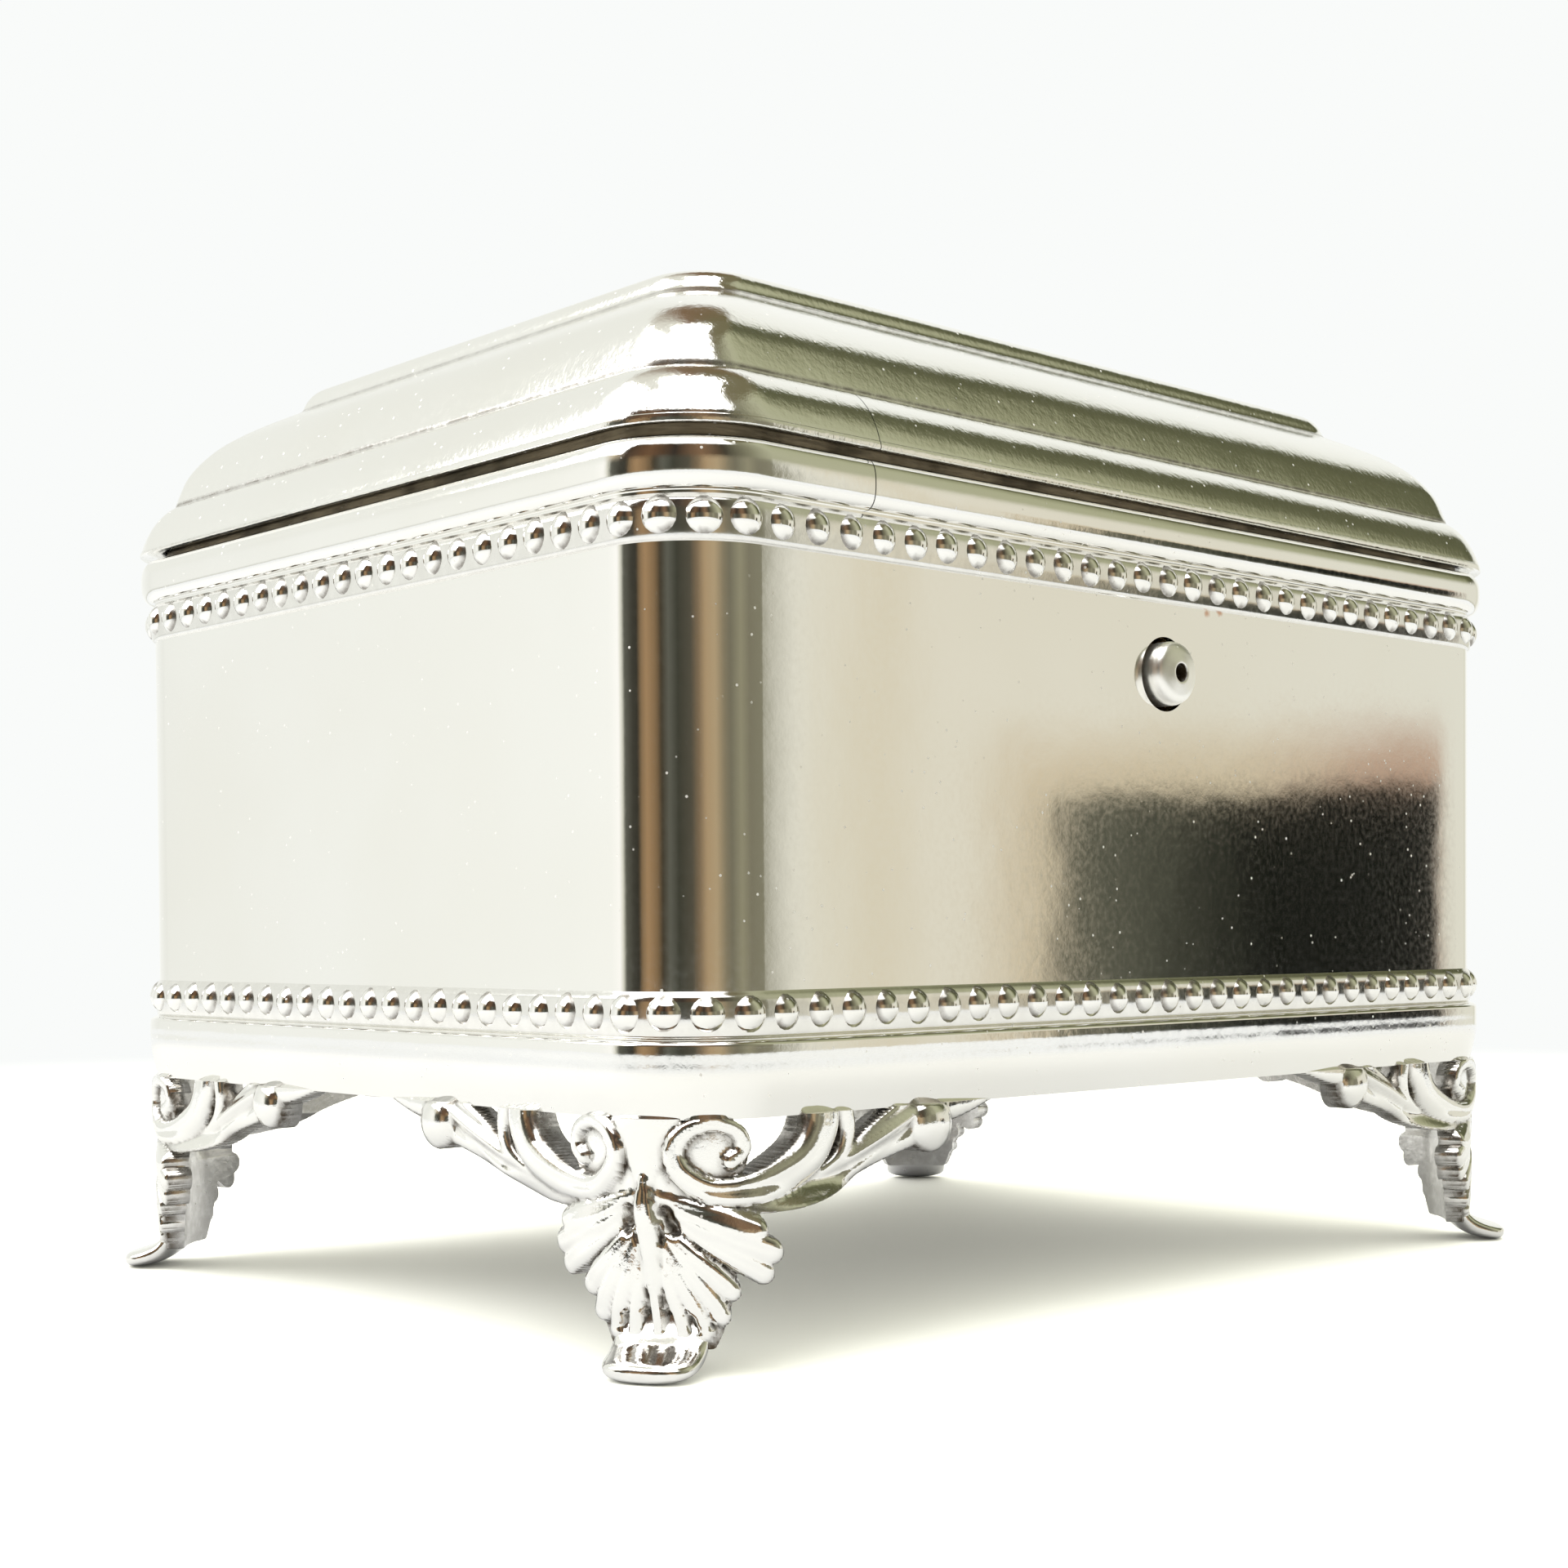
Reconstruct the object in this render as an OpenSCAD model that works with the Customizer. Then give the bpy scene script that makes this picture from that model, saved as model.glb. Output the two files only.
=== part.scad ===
// Vanity trinket box: a rounded rectangular silver casket on four pierced corner feet,
// with a stepped hinged lid and a push-in lock button at the middle of the front.
// +Z up, front (lock side) towards -Y, origin on the floor under the middle of the case.

/* [Case] */
// outside width of the walls along X
case_w = 131.2; // [100:0.2:160]
// outside depth of the walls along Y
case_d = 100; // [80:0.5:130]
// outside corner radius of the walls
corner_r = 9.5; // [6:0.5:14]
// sheet thickness of the walls
wall_t = 0.8; // [0.6:0.1:1.5]
// height of the base moulding's underside above the floor
base_z = 22.3; // [15:0.1:30]
// height of the case's mouth
mouth_z = 81.1; // [60:0.1:100]

/* [Mouldings] */
// projection of the base moulding's bulge
base_out = 1.12; // [0.6:0.02:2.5]
// height of the lower row of beads
lower_bead_z = 31.4; // [28:0.1:40]
// height of the upper row of beads
upper_bead_z = 74.2; // [60:0.1:90]
// radius of one bead
bead_r = 2; // [1:0.05:3]
// distance from bead to bead
bead_pitch = 4.1; // [2.5:0.05:6]
// projection of the rounded rim
rim_out = 1.5; // [0.5:0.1:3]

/* [Lid] */
// height of the lid's lower edge when shut
lid_z = 81.7; // [60:0.1:101]
// overhang of the lid's edge beyond the walls
lid_out = 1.5; // [0:0.1:3]
// height of the lid's skirt moulding
skirt_h = 4.25; // [2:0.05:8]
// thickness of the stamped lid
lid_t = 0.8; // [0.5:0.1:1.5]
// smallest plan corner radius of the stepped top
lid_min_r = 6; // [3:0.5:9]

/* [Feet] */
// reach of a wing along the wall, from the corner
wing_len = 42.4; // [30:0.1:48]
// outward projection of the feet beyond the walls
foot_out = 1.0; // [0.5:0.1:2]
// half width of the spread leaf
leaf_half = 9.8; // [7:0.1:12]
// how far the toe kicks out past the corner
toe_out = 4.4; // [2:0.1:7]

/* [Lock] */
// height of the lock's centre
lock_z = 64.8; // [55:0.1:72]
// radius of the button
button_r = 3.3; // [2:0.05:4]
// how far the button stands out when unlocked
button_out = 2.3; // [1.5:0.1:3]
// radius of the button's small key hole
key_r = 0.93; // [0.5:0.01:1.2]
// travel of the button
button_travel = 2.2; // [1.5:0.1:2.5]

/* [Hinge] */
// radius of the knuckles
knuckle_r = 1.6; // [1:0.1:2.5]
// radius of the hinge pin
pin_r = 0.7; // [0.4:0.05:1]
// length of the row of knuckles
hinge_len = 40; // [20:1:80]

/* [Hidden] */
$fn = 48;
hx = case_w / 2;
hy = case_d / 2;
silver = [0.86, 0.85, 0.82];
brass = [0.78, 0.62, 0.34];
steel = [0.6, 0.61, 0.63];
velvet = [0.42, 0.09, 0.13];
// hinge axis, just behind the rim
hinge_y = hy + 1.8;
hinge_z = lid_z - 0.3;
seg = hinge_len / 5;
// inner face of the front wall, and the planes of the lock's parts behind it
front_in = -hy + wall_t;
case_back = -37.0;
bridge_back = -41.9;
cap_back = -48.6;
staple_y = -39.8;
shaft_end = staple_y + 0.9 - button_travel;
// lid profile: outward offset from the wall, height above the lid's lower edge
dome = [[-2.4, 0], [-2.4, 6.0], [-2.7, 6.9], [-3.3, 8.4], [-4.1, 9.9], [-5.1, 11.2], [-6.5, 12.6],
    [-8.2, 13.9], [-10.2, 15.1], [-12.3, 16.2], [-13.3, 16.9], [-13.7, 17.8], [-14.5, 18.7],
    [-15.7, 19.2]];

// ---------- plan shapes ----------

// rounded rectangle, offset outwards from the walls by o
module plan(o, rmin = 1) {
    r = max(rmin, corner_r + o);
    square([2 * (hx + o), 2 * (hy + o - r)], center = true);
    square([2 * (hx + o - r), 2 * (hy + o)], center = true);
    for (sx = [-1, 1], sy = [-1, 1])
        translate([sx * (hx + o - r), sy * (hy + o - r)])
            circle(r);
}

// a band between two offsets
module band(z0, z1, o_in, o_out) {
    translate([0, 0, z0])
        linear_extrude(z1 - z0)
            difference() {
                plan(o_out);
                plan(o_in);
            }
}

// carries a profile (x = offset outwards, y = height) round the case
module around() {
    for (s = [0, 1]) {
        mirror([s, 0, 0])
            translate([hx, hy - corner_r, 0])
                rotate([90, 0, 0])
                    linear_extrude(2 * (hy - corner_r))
                        children();
        mirror([0, s, 0])
            rotate([0, 0, 90])
                translate([hy, hx - corner_r, 0])
                    rotate([90, 0, 0])
                        linear_extrude(2 * (hx - corner_r))
                            children();
    }
    for (sx = [0, 1], sy = [0, 1])
        mirror([sx, 0, 0])
            mirror([0, sy, 0])
                translate([hx - corner_r, hy - corner_r, 0])
                    rotate_extrude(angle = 90)
                        translate([corner_r, 0])
                            children();
}

// points of one ring of the lid
function lid_ring(o, z, n, rmin) = let (r = max(rmin, corner_r + o), ax = hx + o - r, ay = hy + o - r)
    [for (q = [0:3], i = [0:n]) let (a = 90 * q + 90 * i / n)
        [((q == 0 || q == 3) ? ax : -ax) + r * cos(a), (q < 2 ? ay : -ay) + r * sin(a), z]];

// closed solid through a list of [offset, height] rings
module loft(p, rmin, n = 8) {
    m = 4 * (n + 1);
    k = len(p);
    pts = [for (q = p) each lid_ring(q[0], q[1], n, rmin)];
    polyhedron(points = pts, faces = concat(
        [[for (i = [0:m - 1]) i]],
        [[for (i = [0:m - 1]) k * m - 1 - i]],
        [for (j = [0:k - 2], i = [0:m - 1])
            [j * m + i, (j + 1) * m + i, (j + 1) * m + (i + 1) % m, j * m + (i + 1) % m]]));
}

// the profile moved inwards by the sheet's thickness
function inset(p, t) = [for (i = [0:len(p) - 1])
    let (d = p[min(i + 1, len(p) - 1)] - p[max(i - 1, 0)]) p[i] - t * [d[1], -d[0]] / norm(d)];

// ---------- case ----------

// drawn wall with the lock's clearance hole
module wall_shell() {
    color(silver)
        difference() {
            band(base_z + 0.6, mouth_z, -wall_t, 0);
            translate([0, -hy - 1, lock_z])
                rotate([-90, 0, 0])
                    cylinder(r = button_r + 0.55, h = wall_t + 2);
        }
}

// plate that closes the case's bottom
module bottom_plate() {
    color(silver)
        translate([0, 0, base_z + 0.6])
            linear_extrude(0.8)
                plan(-wall_t);
}

// plain band that bulges near its top and draws in downwards, turned in under the wall
module base_moulding() {
    b = base_z;
    o = base_out;
    color(silver)
        around()
            polygon([[0, b + 7], [0.45 * o, b + 6.85], [0.85 * o, b + 6.4], [0.97 * o, b + 5.9], [o, b + 5.2],
                [0.97 * o, b + 4.1], [0.82 * o, b + 2.7], [0.64 * o, b + 1.1], [0.45 * o, b],
                [-3, b], [-3, b + 0.6], [0, b + 0.6]]);
}

// one domed bead, flat back against the wall, pointing along +X
module bead() {
    rotate([0, 90, 0])
        rotate_extrude()
            intersection() {
                translate([0, -0.8])
                    circle(bead_r);
                square([3, 3]);
            }
}

// one row of beads round the case
module bead_row(z) {
    sx = 2 * (hx - corner_r);
    sy = 2 * (hy - corner_r);
    nx = round(sx / bead_pitch);
    ny = round(sy / bead_pitch);
    nc = floor(PI / 2 * (corner_r + 1) / bead_pitch);
    for (s = [0, 180], i = [0:nx - 1])
        rotate([0, 0, 90 + s])
            translate([hy, (i + 0.5) * sx / nx - sx / 2, z])
                bead();
    for (s = [0, 180], i = [0:ny - 1])
        rotate([0, 0, s])
            translate([hx, (i + 0.5) * sy / ny - sy / 2, z])
                bead();
    for (q = [0:3], i = [0:nc - 1])
        translate([((q == 0 || q == 3) ? 1 : -1) * sx / 2, (q < 2 ? 1 : -1) * sy / 2, z])
            rotate([0, 0, 90 * q + 90 * (i + 0.5) / nc])
                translate([corner_r, 0, 0])
                    bead();
}

module lower_beading() {
    color(silver)
        bead_row(lower_bead_z);
}

module upper_beading() {
    color(silver)
        bead_row(upper_bead_z);
}

// full rounded rim under the lid, cut away at the back for the hinge
module upper_rim() {
    h = mouth_z - upper_bead_z - bead_r - 0.2;
    n = 12;
    color(silver)
        difference() {
            around()
                polygon([for (i = [0:n]) let (t = -cos(180 * i / n))
                    [rim_out * pow(max(0, 1 - pow(abs(t), 2.5)), 0.4), mouth_z - h * (1 - t) / 2]]);
            translate([-hinge_len / 2 - 0.8, hy, mouth_z - h - 1])
                cube([hinge_len + 1.6, 4, h + 2]);
            translate([-43.6, -hy - 3, mouth_z - h - 1])
                cube([0.2, 2.2, h + 2]);
        }
}

// ---------- feet ----------

// pierced scroll wing, seen square on: x = distance back from the corner, y = height
module wing_shape() {
    b = base_z;
    k = wing_len / 42.4;
    difference() {
        polygon([[3 * k, b], [42.4 * k, b], [39.5 * k, 20.9], [37 * k, 19.4], [35.4 * k, 18.1],
            [33.5 * k, 17.5], [31.4 * k, 17.7], [29.8 * k, 18.7], [28 * k, 18.1], [25 * k, 16.7],
            [22 * k, 15.4], [18 * k, 14.5], [14 * k, 14.1], [10 * k, 14.1], [7 * k, 14.5], [3 * k, 15.6]]);
        translate([20.5 * k, 20.6])
            circle(1);
        translate([25.5 * k, 19.9])
            circle(0.9);
        translate([12.6 * k, 19.6])
            circle(1.9);
    }
}

// spread leaf at the corner, seen from outside: x = sideways, y = height
module leaf_shape() {
    w = leaf_half;
    polygon([for (s = [1, -1]) each [for (i = [0:12]) let (j = s > 0 ? i : 12 - i,
        p = [[4.2, base_z], [4.6, 18], [6.4, 15.6], [w * 0.95, 13.4], [w, 11.3], [w * 0.96, 9.4],
            [w * 0.84, 8.6], [w * 0.76, 7.3], [w * 0.6, 5.6], [w * 0.5, 4.4], [w * 0.44, 3.2],
            [w * 0.4, 2.2], [3.0, 1.2]][j]) [s * p[0], p[1]]]]);
}

// one foot, built at the corner towards +X +Y
module foot() {
    c = [hx - corner_r, hy - corner_r, 0];
    tip = corner_r / sqrt(2);
    color(silver) {
        intersection() {
            linear_extrude(base_z)
                difference() {
                    plan(foot_out);
                    plan(foot_out - 3.4);
                }
            union() {
                translate([hx, hy + 4, 0])
                    rotate([90, 0, 0])
                        mirror([1, 0, 0])
                            linear_extrude(9)
                                wing_shape();
                translate([hx + 4, hy, 0])
                    rotate([90, 0, -90])
                        linear_extrude(9)
                            wing_shape();
            }
        }
        intersection() {
            linear_extrude(base_z)
                difference() {
                    plan(foot_out - 0.4);
                    plan(foot_out - 3.4);
                }
            translate(c)
                rotate([90, 0, 135])
                    translate([0, 0, -3])
                        linear_extrude(17)
                            leaf_shape();
        }
        // toe, kicked outwards and flat underneath
        translate(c + [tip, tip, 0])
            rotate([90, 0, 45])
                translate([0, 0, -3.6])
                    linear_extrude(7.2)
                        polygon([[-2.4, 6], [0.3, 6], [0.2, 3.4], [0.9, 2.4], [2.4, 1.8],
                            [toe_out - 0.5, 1.5], [toe_out, 0.9], [toe_out - 0.3, 0.2], [toe_out - 0.9, 0],
                            [-1.2, 0], [-2.2, 0.6]]);
    }
}

module foot_rear_right() {
    foot();
}

module foot_rear_left() {
    mirror([1, 0, 0])
        foot();
}

module foot_front_right() {
    mirror([0, 1, 0])
        foot();
}

module foot_front_left() {
    mirror([1, 0, 0])
        mirror([0, 1, 0])
            foot();
}

// ---------- hinge ----------

// one knuckle with its bore, from x0 to x1
module knuckle(x0, x1, bore) {
    translate([x0, hinge_y, hinge_z])
        rotate([0, 90, 0])
            difference() {
                cylinder(r = knuckle_r, h = x1 - x0);
                translate([0, 0, -1])
                    cylinder(r = bore, h = x1 - x0 + 2);
            }
}

// three knuckles and a leaf on the outside of the back wall
module hinge_case_leaf() {
    color(silver)
        difference() {
            union() {
                translate([-hinge_len / 2, hy, mouth_z - 4.6])
                    cube([hinge_len, 0.8, 2.9]);
                for (i = [-1, 0, 1])
                    translate([i * 2 * seg - seg / 2 + 0.1, hy, mouth_z - 4.6]) {
                        cube([seg - 0.2, 0.8, hinge_z - mouth_z + 4.6]);
                    }
                for (i = [-1, 0, 1])
                    translate([i * 2 * seg - seg / 2 + 0.1, hinge_y, hinge_z])
                        rotate([0, 90, 0])
                            cylinder(r = knuckle_r, h = seg - 0.2);
            }
            translate([-hinge_len / 2 - 1, hinge_y, hinge_z])
                rotate([0, 90, 0])
                    cylinder(r = pin_r, h = hinge_len + 2);
        }
}

// pin through all knuckles, with a low head at each end
module hinge_pin() {
    color(silver)
        translate([-hinge_len / 2 + 0.1, hinge_y, hinge_z])
            rotate([0, 90, 0]) {
                cylinder(r = pin_r, h = hinge_len - 0.2);
                translate([0, 0, -0.4])
                    cylinder(r = 1.1, h = 0.4);
                translate([0, 0, hinge_len - 0.2])
                    cylinder(r = 1.1, h = 0.4);
            }
}

// two knuckles and a leaf that runs in to the lid's locating strip
module hinge_lid_leaf() {
    w = 3 * seg - 0.2;
    color(silver)
        difference() {
            union() {
                translate([-w / 2, hy - 1.4, hinge_z + 0.8])
                    cube([w, 1.2, 0.8]);
                for (s = [-1, 1]) {
                    translate([s * seg - seg / 2 + 0.1, hy - 1, hinge_z + 0.8])
                        cube([seg - 0.2, 2.8, 0.8]);
                    translate([s * seg - seg / 2 + 0.1, hinge_y, hinge_z])
                        rotate([0, 90, 0])
                            cylinder(r = knuckle_r, h = seg - 0.2);
                }
            }
            translate([-hinge_len / 2, hinge_y, hinge_z])
                rotate([0, 90, 0])
                    cylinder(r = pin_r + 0.04, h = hinge_len);
        }
}

// ---------- lock ----------

// round bar or hole along Y, from y0 to y1 at the lock's centre
module lock_bar(r, y0, y1) {
    translate([0, y0, lock_z])
        rotate([-90, 0, 0])
            cylinder(r = r, h = y1 - y0);
}

// the four screw places
module at_screws() {
    for (sx = [-1, 1], sz = [-1, 1])
        translate([sx * 8, 0, lock_z + sz * 6.5])
            children();
}

// open-backed case soldered behind the front wall, slotted on top for the staple
module lock_case() {
    d = case_back - front_in;
    color(brass)
        difference() {
            union() {
                difference() {
                    translate([-10, front_in, lock_z - 8.5])
                        cube([20, d, 17]);
                    translate([-9.2, front_in + 0.8, lock_z - 7.7])
                        cube([18.4, d, 15.4]);
                }
                at_screws()
                    translate([0, front_in + 0.8, 0])
                        rotate([-90, 0, 0])
                            cylinder(r = 1.4, h = d - 0.8);
            }
            lock_bar(button_r + 0.55, front_in - 1, front_in + 1);
            translate([-5.4, -42.1, lock_z + 7])
                cube([10.8, 3.9, 3]);
            at_screws()
                translate([0, case_back - 4, 0])
                    rotate([-90, 0, 0])
                        cylinder(r = 0.5, h = 5);
        }
}

// plate across the lock case with the plunger's guide and the spring's cup
module lock_bridge() {
    color(brass)
        difference() {
            union() {
                translate([-9.2, bridge_back - 1, lock_z - 4.9])
                    cube([18.4, 1, 9.8]);
                translate([-6.4, bridge_back - 1, lock_z - 7.7])
                    cube([12.8, 1, 15.4]);
                lock_bar(3.6, -46.3, bridge_back);
            }
            lock_bar(3.0, -47, bridge_back - 1);
            lock_bar(2.05, -47, bridge_back + 1);
        }
}

// back plate of the lock
module lock_cover() {
    color(brass)
        difference() {
            translate([-10, case_back, lock_z - 8.5])
                cube([20, 0.8, 17]);
            at_screws()
                translate([0, case_back - 1, 0])
                    rotate([-90, 0, 0])
                        cylinder(r = 0.5, h = 3);
        }
}

// slotted screws that hold the back plate
module lock_screws() {
    color(steel)
        at_screws()
            difference() {
                translate([0, case_back - 3.8, 0])
                    rotate([-90, 0, 0])
                        union() {
                            cylinder(r = 0.5, h = 4.6);
                            translate([0, 0, 4.6])
                                cylinder(r = 1.0, h = 0.5);
                        }
                translate([-1.5, case_back + 1.05, -0.12])
                    cube([3, 1, 0.24]);
            }
}

// coil between the button and the spring cup
module lock_spring() {
    turns = 5;
    n = 16;
    m = 8;
    wr = 0.22;
    y0 = cap_back + 0.35;
    y1 = bridge_back - 1.3;
    k = turns * n;
    pts = [for (i = [0:k], j = [0:m - 1]) let (a = 360 * i / n, b = 360 * j / m, r = 2.5 + wr * cos(b))
        [r * cos(a), y0 + (y1 - y0) * i / k + wr * sin(b), lock_z + r * sin(a)]];
    color(steel)
        polyhedron(points = pts, faces = concat(
            [[for (j = [0:m - 1]) m - 1 - j]],
            [[for (j = [0:m - 1]) k * m + j]],
            [for (i = [0:k - 1], j = [0:m - 1])
                [i * m + j, i * m + (j + 1) % m, (i + 1) * m + (j + 1) % m, (i + 1) * m + j]]));
}

// domed button with its blind key hole
module lock_button() {
    face = -hy - button_out;
    color(silver)
        difference() {
            intersection() {
                lock_bar(button_r, face, cap_back);
                translate([0, face + 5.2, lock_z])
                    sphere(5.2);
            }
            lock_bar(key_r, face - 1, face + 2.1);
            lock_bar(1.2, cap_back - 1.2, cap_back + 1);
        }
}

// shaft behind the button; its end goes through the staple
module lock_plunger() {
    color(steel)
        difference() {
            union() {
                lock_bar(1.2, cap_back - 1.2, cap_back);
                lock_bar(2.0, cap_back, shaft_end);
            }
            difference() {
                lock_bar(2.5, bridge_back + 0.1, bridge_back + 0.6);
                lock_bar(1.6, bridge_back, bridge_back + 0.7);
            }
        }
}

// spring clip in the shaft's groove
module plunger_clip() {
    color(steel)
        difference() {
            lock_bar(2.7, bridge_back + 0.1, bridge_back + 0.6);
            lock_bar(1.6, bridge_back, bridge_back + 1);
            translate([-0.8, bridge_back, lock_z - 4])
                cube([1.6, 1, 4]);
        }
}

// ---------- lining ----------

// padded velvet floor
module floor_pad() {
    color(velvet)
        translate([0, 0, base_z + 1.7])
            linear_extrude(3)
                plan(-wall_t - 0.4);
}

// four velvet covered panels against the walls
module wall_lining() {
    z0 = base_z + 5.0;
    h = 77.4 - z0;
    lx = 2 * (hx - corner_r);
    ly = 2 * (hy - corner_r);
    color(velvet) {
        for (s = [-1, 1])
            translate([s * (hx - wall_t - 0.9) - 0.6, -ly / 2, z0])
                cube([1.2, ly, h]);
        translate([-lx / 2, hy - wall_t - 1.5, z0])
            cube([lx, 1.2, h]);
        difference() {
            translate([-lx / 2, front_in + 0.3, z0])
                cube([lx, 1.2, h]);
            translate([-10.4, front_in, lock_z - 8.9])
                cube([20.8, 3, 30]);
        }
    }
}

// ---------- lid ----------

// convex skirt moulding round the lid's edge, open inside, with a butt seam near the corner
module lid_skirt() {
    n = 8;
    a = [lid_out, 0.25];
    e = [-2.4, skirt_h];
    u = (e - a) / norm(e - a);
    outer = [for (i = [0:n]) a + (e - a) * i / n + 0.35 * sin(180 * i / n) * [u[1], -u[0]]];
    color(silver)
        difference() {
            around()
                translate([0, lid_z])
                    polygon(concat([[lid_out, 0]], outer, [[-2.4, skirt_h - 0.9], [-0.9, 1.8],
                        [0.4, 0.6], [-1.4, 0.6], [-1.4, 0]]));
            translate([-hinge_len / 2 - 0.8, hy - 1.4, lid_z - 1])
                cube([hinge_len + 1.6, 5.2, 2.6]);
            translate([-43, -hy - 3, lid_z - 1])
                cube([0.2, 5, 7]);
        }
}

// stamped lid: cushion, shoulder, small step and flat top
module lid_dome() {
    p = [for (q = dome) [q[0], q[1] + lid_z]];
    inner = concat([[-2.4 - lid_t, lid_z - 1]], inset([for (i = [1:len(p) - 1]) p[i]], lid_t));
    color(silver)
        difference() {
            loft(p, lid_min_r);
            loft(inner, lid_min_r - lid_t);
            for (s = [-1, 1])
                translate([s * 3, -hy, lid_z + 3.9])
                    rotate([-90, 0, 0])
                        cylinder(r = 0.6, h = 5);
        }
}

// thin strip that locates the lid inside the case's mouth
module lid_bezel() {
    color(silver)
        band(lid_z - 2.3, lid_z + 1.6, -2.4, -1.4);
}

// bracket from the lid's front wall down into the lock, with the plunger's hole
module lid_staple() {
    zt = lid_z + 2;
    color(brass)
        difference() {
            union() {
                translate([-4.8, staple_y, lock_z - 4.3])
                    cube([9.6, 0.7, zt + 0.7 - lock_z + 4.3]);
                translate([-4.8, -hy + 2.4 + lid_t, zt])
                    cube([9.6, staple_y + 0.7 + hy - 2.4 - lid_t, 0.7]);
                translate([-4.8, -hy + 2.4 + lid_t, zt])
                    cube([9.6, 0.7, 3.2]);
            }
            lock_bar(3.0, staple_y - 1, staple_y + 2);
            for (s = [-1, 1])
                translate([s * 3, -hy + 2, lid_z + 3.9])
                    rotate([-90, 0, 0])
                        cylinder(r = 0.6, h = 3);
        }
}

// two rivets through the lid's wall and the bracket
module staple_rivets() {
    color(silver)
        for (s = [-1, 1])
            translate([s * 3, -hy + 2.4, lid_z + 3.9])
                rotate([-90, 0, 0]) {
                    cylinder(r = 0.6, h = lid_t + 0.7);
                    translate([0, 0, lid_t + 0.7])
                        cylinder(r = 1.1, h = 0.5);
                }
}

// soft pad under the lid's flat top
module lid_lining() {
    color(velvet)
        translate([0, 0, lid_z + 16.0])
            linear_extrude(2)
                plan(-15.2, 4);
}

wall_shell();
bottom_plate();
base_moulding();
lower_beading();
upper_beading();
upper_rim();
foot_front_left();
foot_front_right();
foot_rear_left();
foot_rear_right();
hinge_case_leaf();
hinge_pin();
lock_case();
lock_bridge();
lock_cover();
lock_screws();
lock_spring();
floor_pad();
wall_lining();
lid_skirt();
lid_dome();
lid_bezel();
hinge_lid_leaf();
lid_staple();
staple_rivets();
lid_lining();
lock_button();
lock_plunger();
plunger_clip();
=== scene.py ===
"""Silver-plated vanity trinket box on four pierced corner feet: looks, stage and camera."""

import math
import random

import bmesh
import bpy
import numpy as np
from mathutils import Matrix, Vector


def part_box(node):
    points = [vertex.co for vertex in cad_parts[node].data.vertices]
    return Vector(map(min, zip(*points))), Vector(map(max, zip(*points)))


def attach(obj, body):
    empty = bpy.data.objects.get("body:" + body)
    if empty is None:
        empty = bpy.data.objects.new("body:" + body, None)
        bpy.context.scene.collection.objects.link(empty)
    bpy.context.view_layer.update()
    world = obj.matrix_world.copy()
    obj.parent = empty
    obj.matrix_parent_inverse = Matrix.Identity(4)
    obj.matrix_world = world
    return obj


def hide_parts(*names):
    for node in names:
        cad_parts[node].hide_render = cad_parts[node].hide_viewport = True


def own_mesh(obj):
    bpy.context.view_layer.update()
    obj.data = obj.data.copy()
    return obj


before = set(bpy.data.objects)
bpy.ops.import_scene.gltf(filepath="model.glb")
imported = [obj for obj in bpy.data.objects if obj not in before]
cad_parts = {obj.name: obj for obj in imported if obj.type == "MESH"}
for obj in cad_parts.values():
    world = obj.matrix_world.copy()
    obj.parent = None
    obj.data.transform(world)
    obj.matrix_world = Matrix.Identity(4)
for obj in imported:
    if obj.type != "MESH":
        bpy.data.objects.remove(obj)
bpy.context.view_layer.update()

MM = 0.001
SHARP = math.radians(32)

# ---------- sizes in millimetres, from the frame where it has them ----------

wall_lo, wall_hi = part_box("wall_shell")
HALF_X = wall_hi.x / MM
HALF_Y = wall_hi.y / MM
MOUTH = wall_hi.z / MM
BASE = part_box("base_moulding")[0].z / MM
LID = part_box("lid_skirt")[0].z / MM
HINGE_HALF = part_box("hinge_case_leaf")[1].x / MM
button_lo, button_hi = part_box("lock_button")
LOCK_Z = (button_lo.z + button_hi.z) / 2 / MM
BUTTON_R = (button_hi.x - button_lo.x) / 2 / MM
BUTTON_FACE = button_lo.y / MM
BUTTON_BACK = button_hi.y / MM
# outer radius of the upright corners, sheet gauge, and the fine bevel on the wall's mouth
CORNER = 9.5
SHEET = 0.8
MOUTH_BEVEL = 0.12
# room round the button in its hole, and beside the hinge where rim and skirt are cut away
BUTTON_GAP = 0.55
HINGE_GAP = 0.8
# butt seams of the rim and the skirt on the front: place and width
RIM_SEAM = (-43.6, 0.12)
SKIRT_SEAM = (-43.0, 0.1)
BEAD_R = 2.0
BEAD_SUNK = 0.8
BEAD_PITCH = 4.1
LOWER_BEADS_Z = 31.4
UPPER_BEADS_Z = 74.2
CORNER_STEPS = 22


# ---------- small shaping tools ----------


def curve_through(points, per_span=6):
    """Points along a smooth curve through the given points, of any dimension."""
    p = np.array(points, float)
    ext = np.vstack([2 * p[0] - p[1], p, 2 * p[-1] - p[-2]])
    out = []
    for i in range(len(p) - 1):
        a, b, c, d = ext[i : i + 4]
        for t in np.linspace(0, 1, per_span, endpoint=False):
            out.append(
                0.5
                * (
                    2 * b
                    + (c - a) * t
                    + (2 * a - 5 * b + 4 * c - d) * t * t
                    + (3 * b - a - 3 * c + d) * t**3
                )
            )
    out.append(p[-1])
    return [tuple(q) for q in out]


def superellipse(half_w, half_h, power, count):
    """Closed outline of a rounded bar, as (across, up) pairs."""
    out = []
    for i in range(count):
        a = 2 * math.pi * i / count
        c, s = math.cos(a), math.sin(a)
        out.append(
            (
                half_w * math.copysign(abs(c) ** (2 / power), c),
                half_h * math.copysign(abs(s) ** (2 / power), s),
            )
        )
    return out


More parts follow.
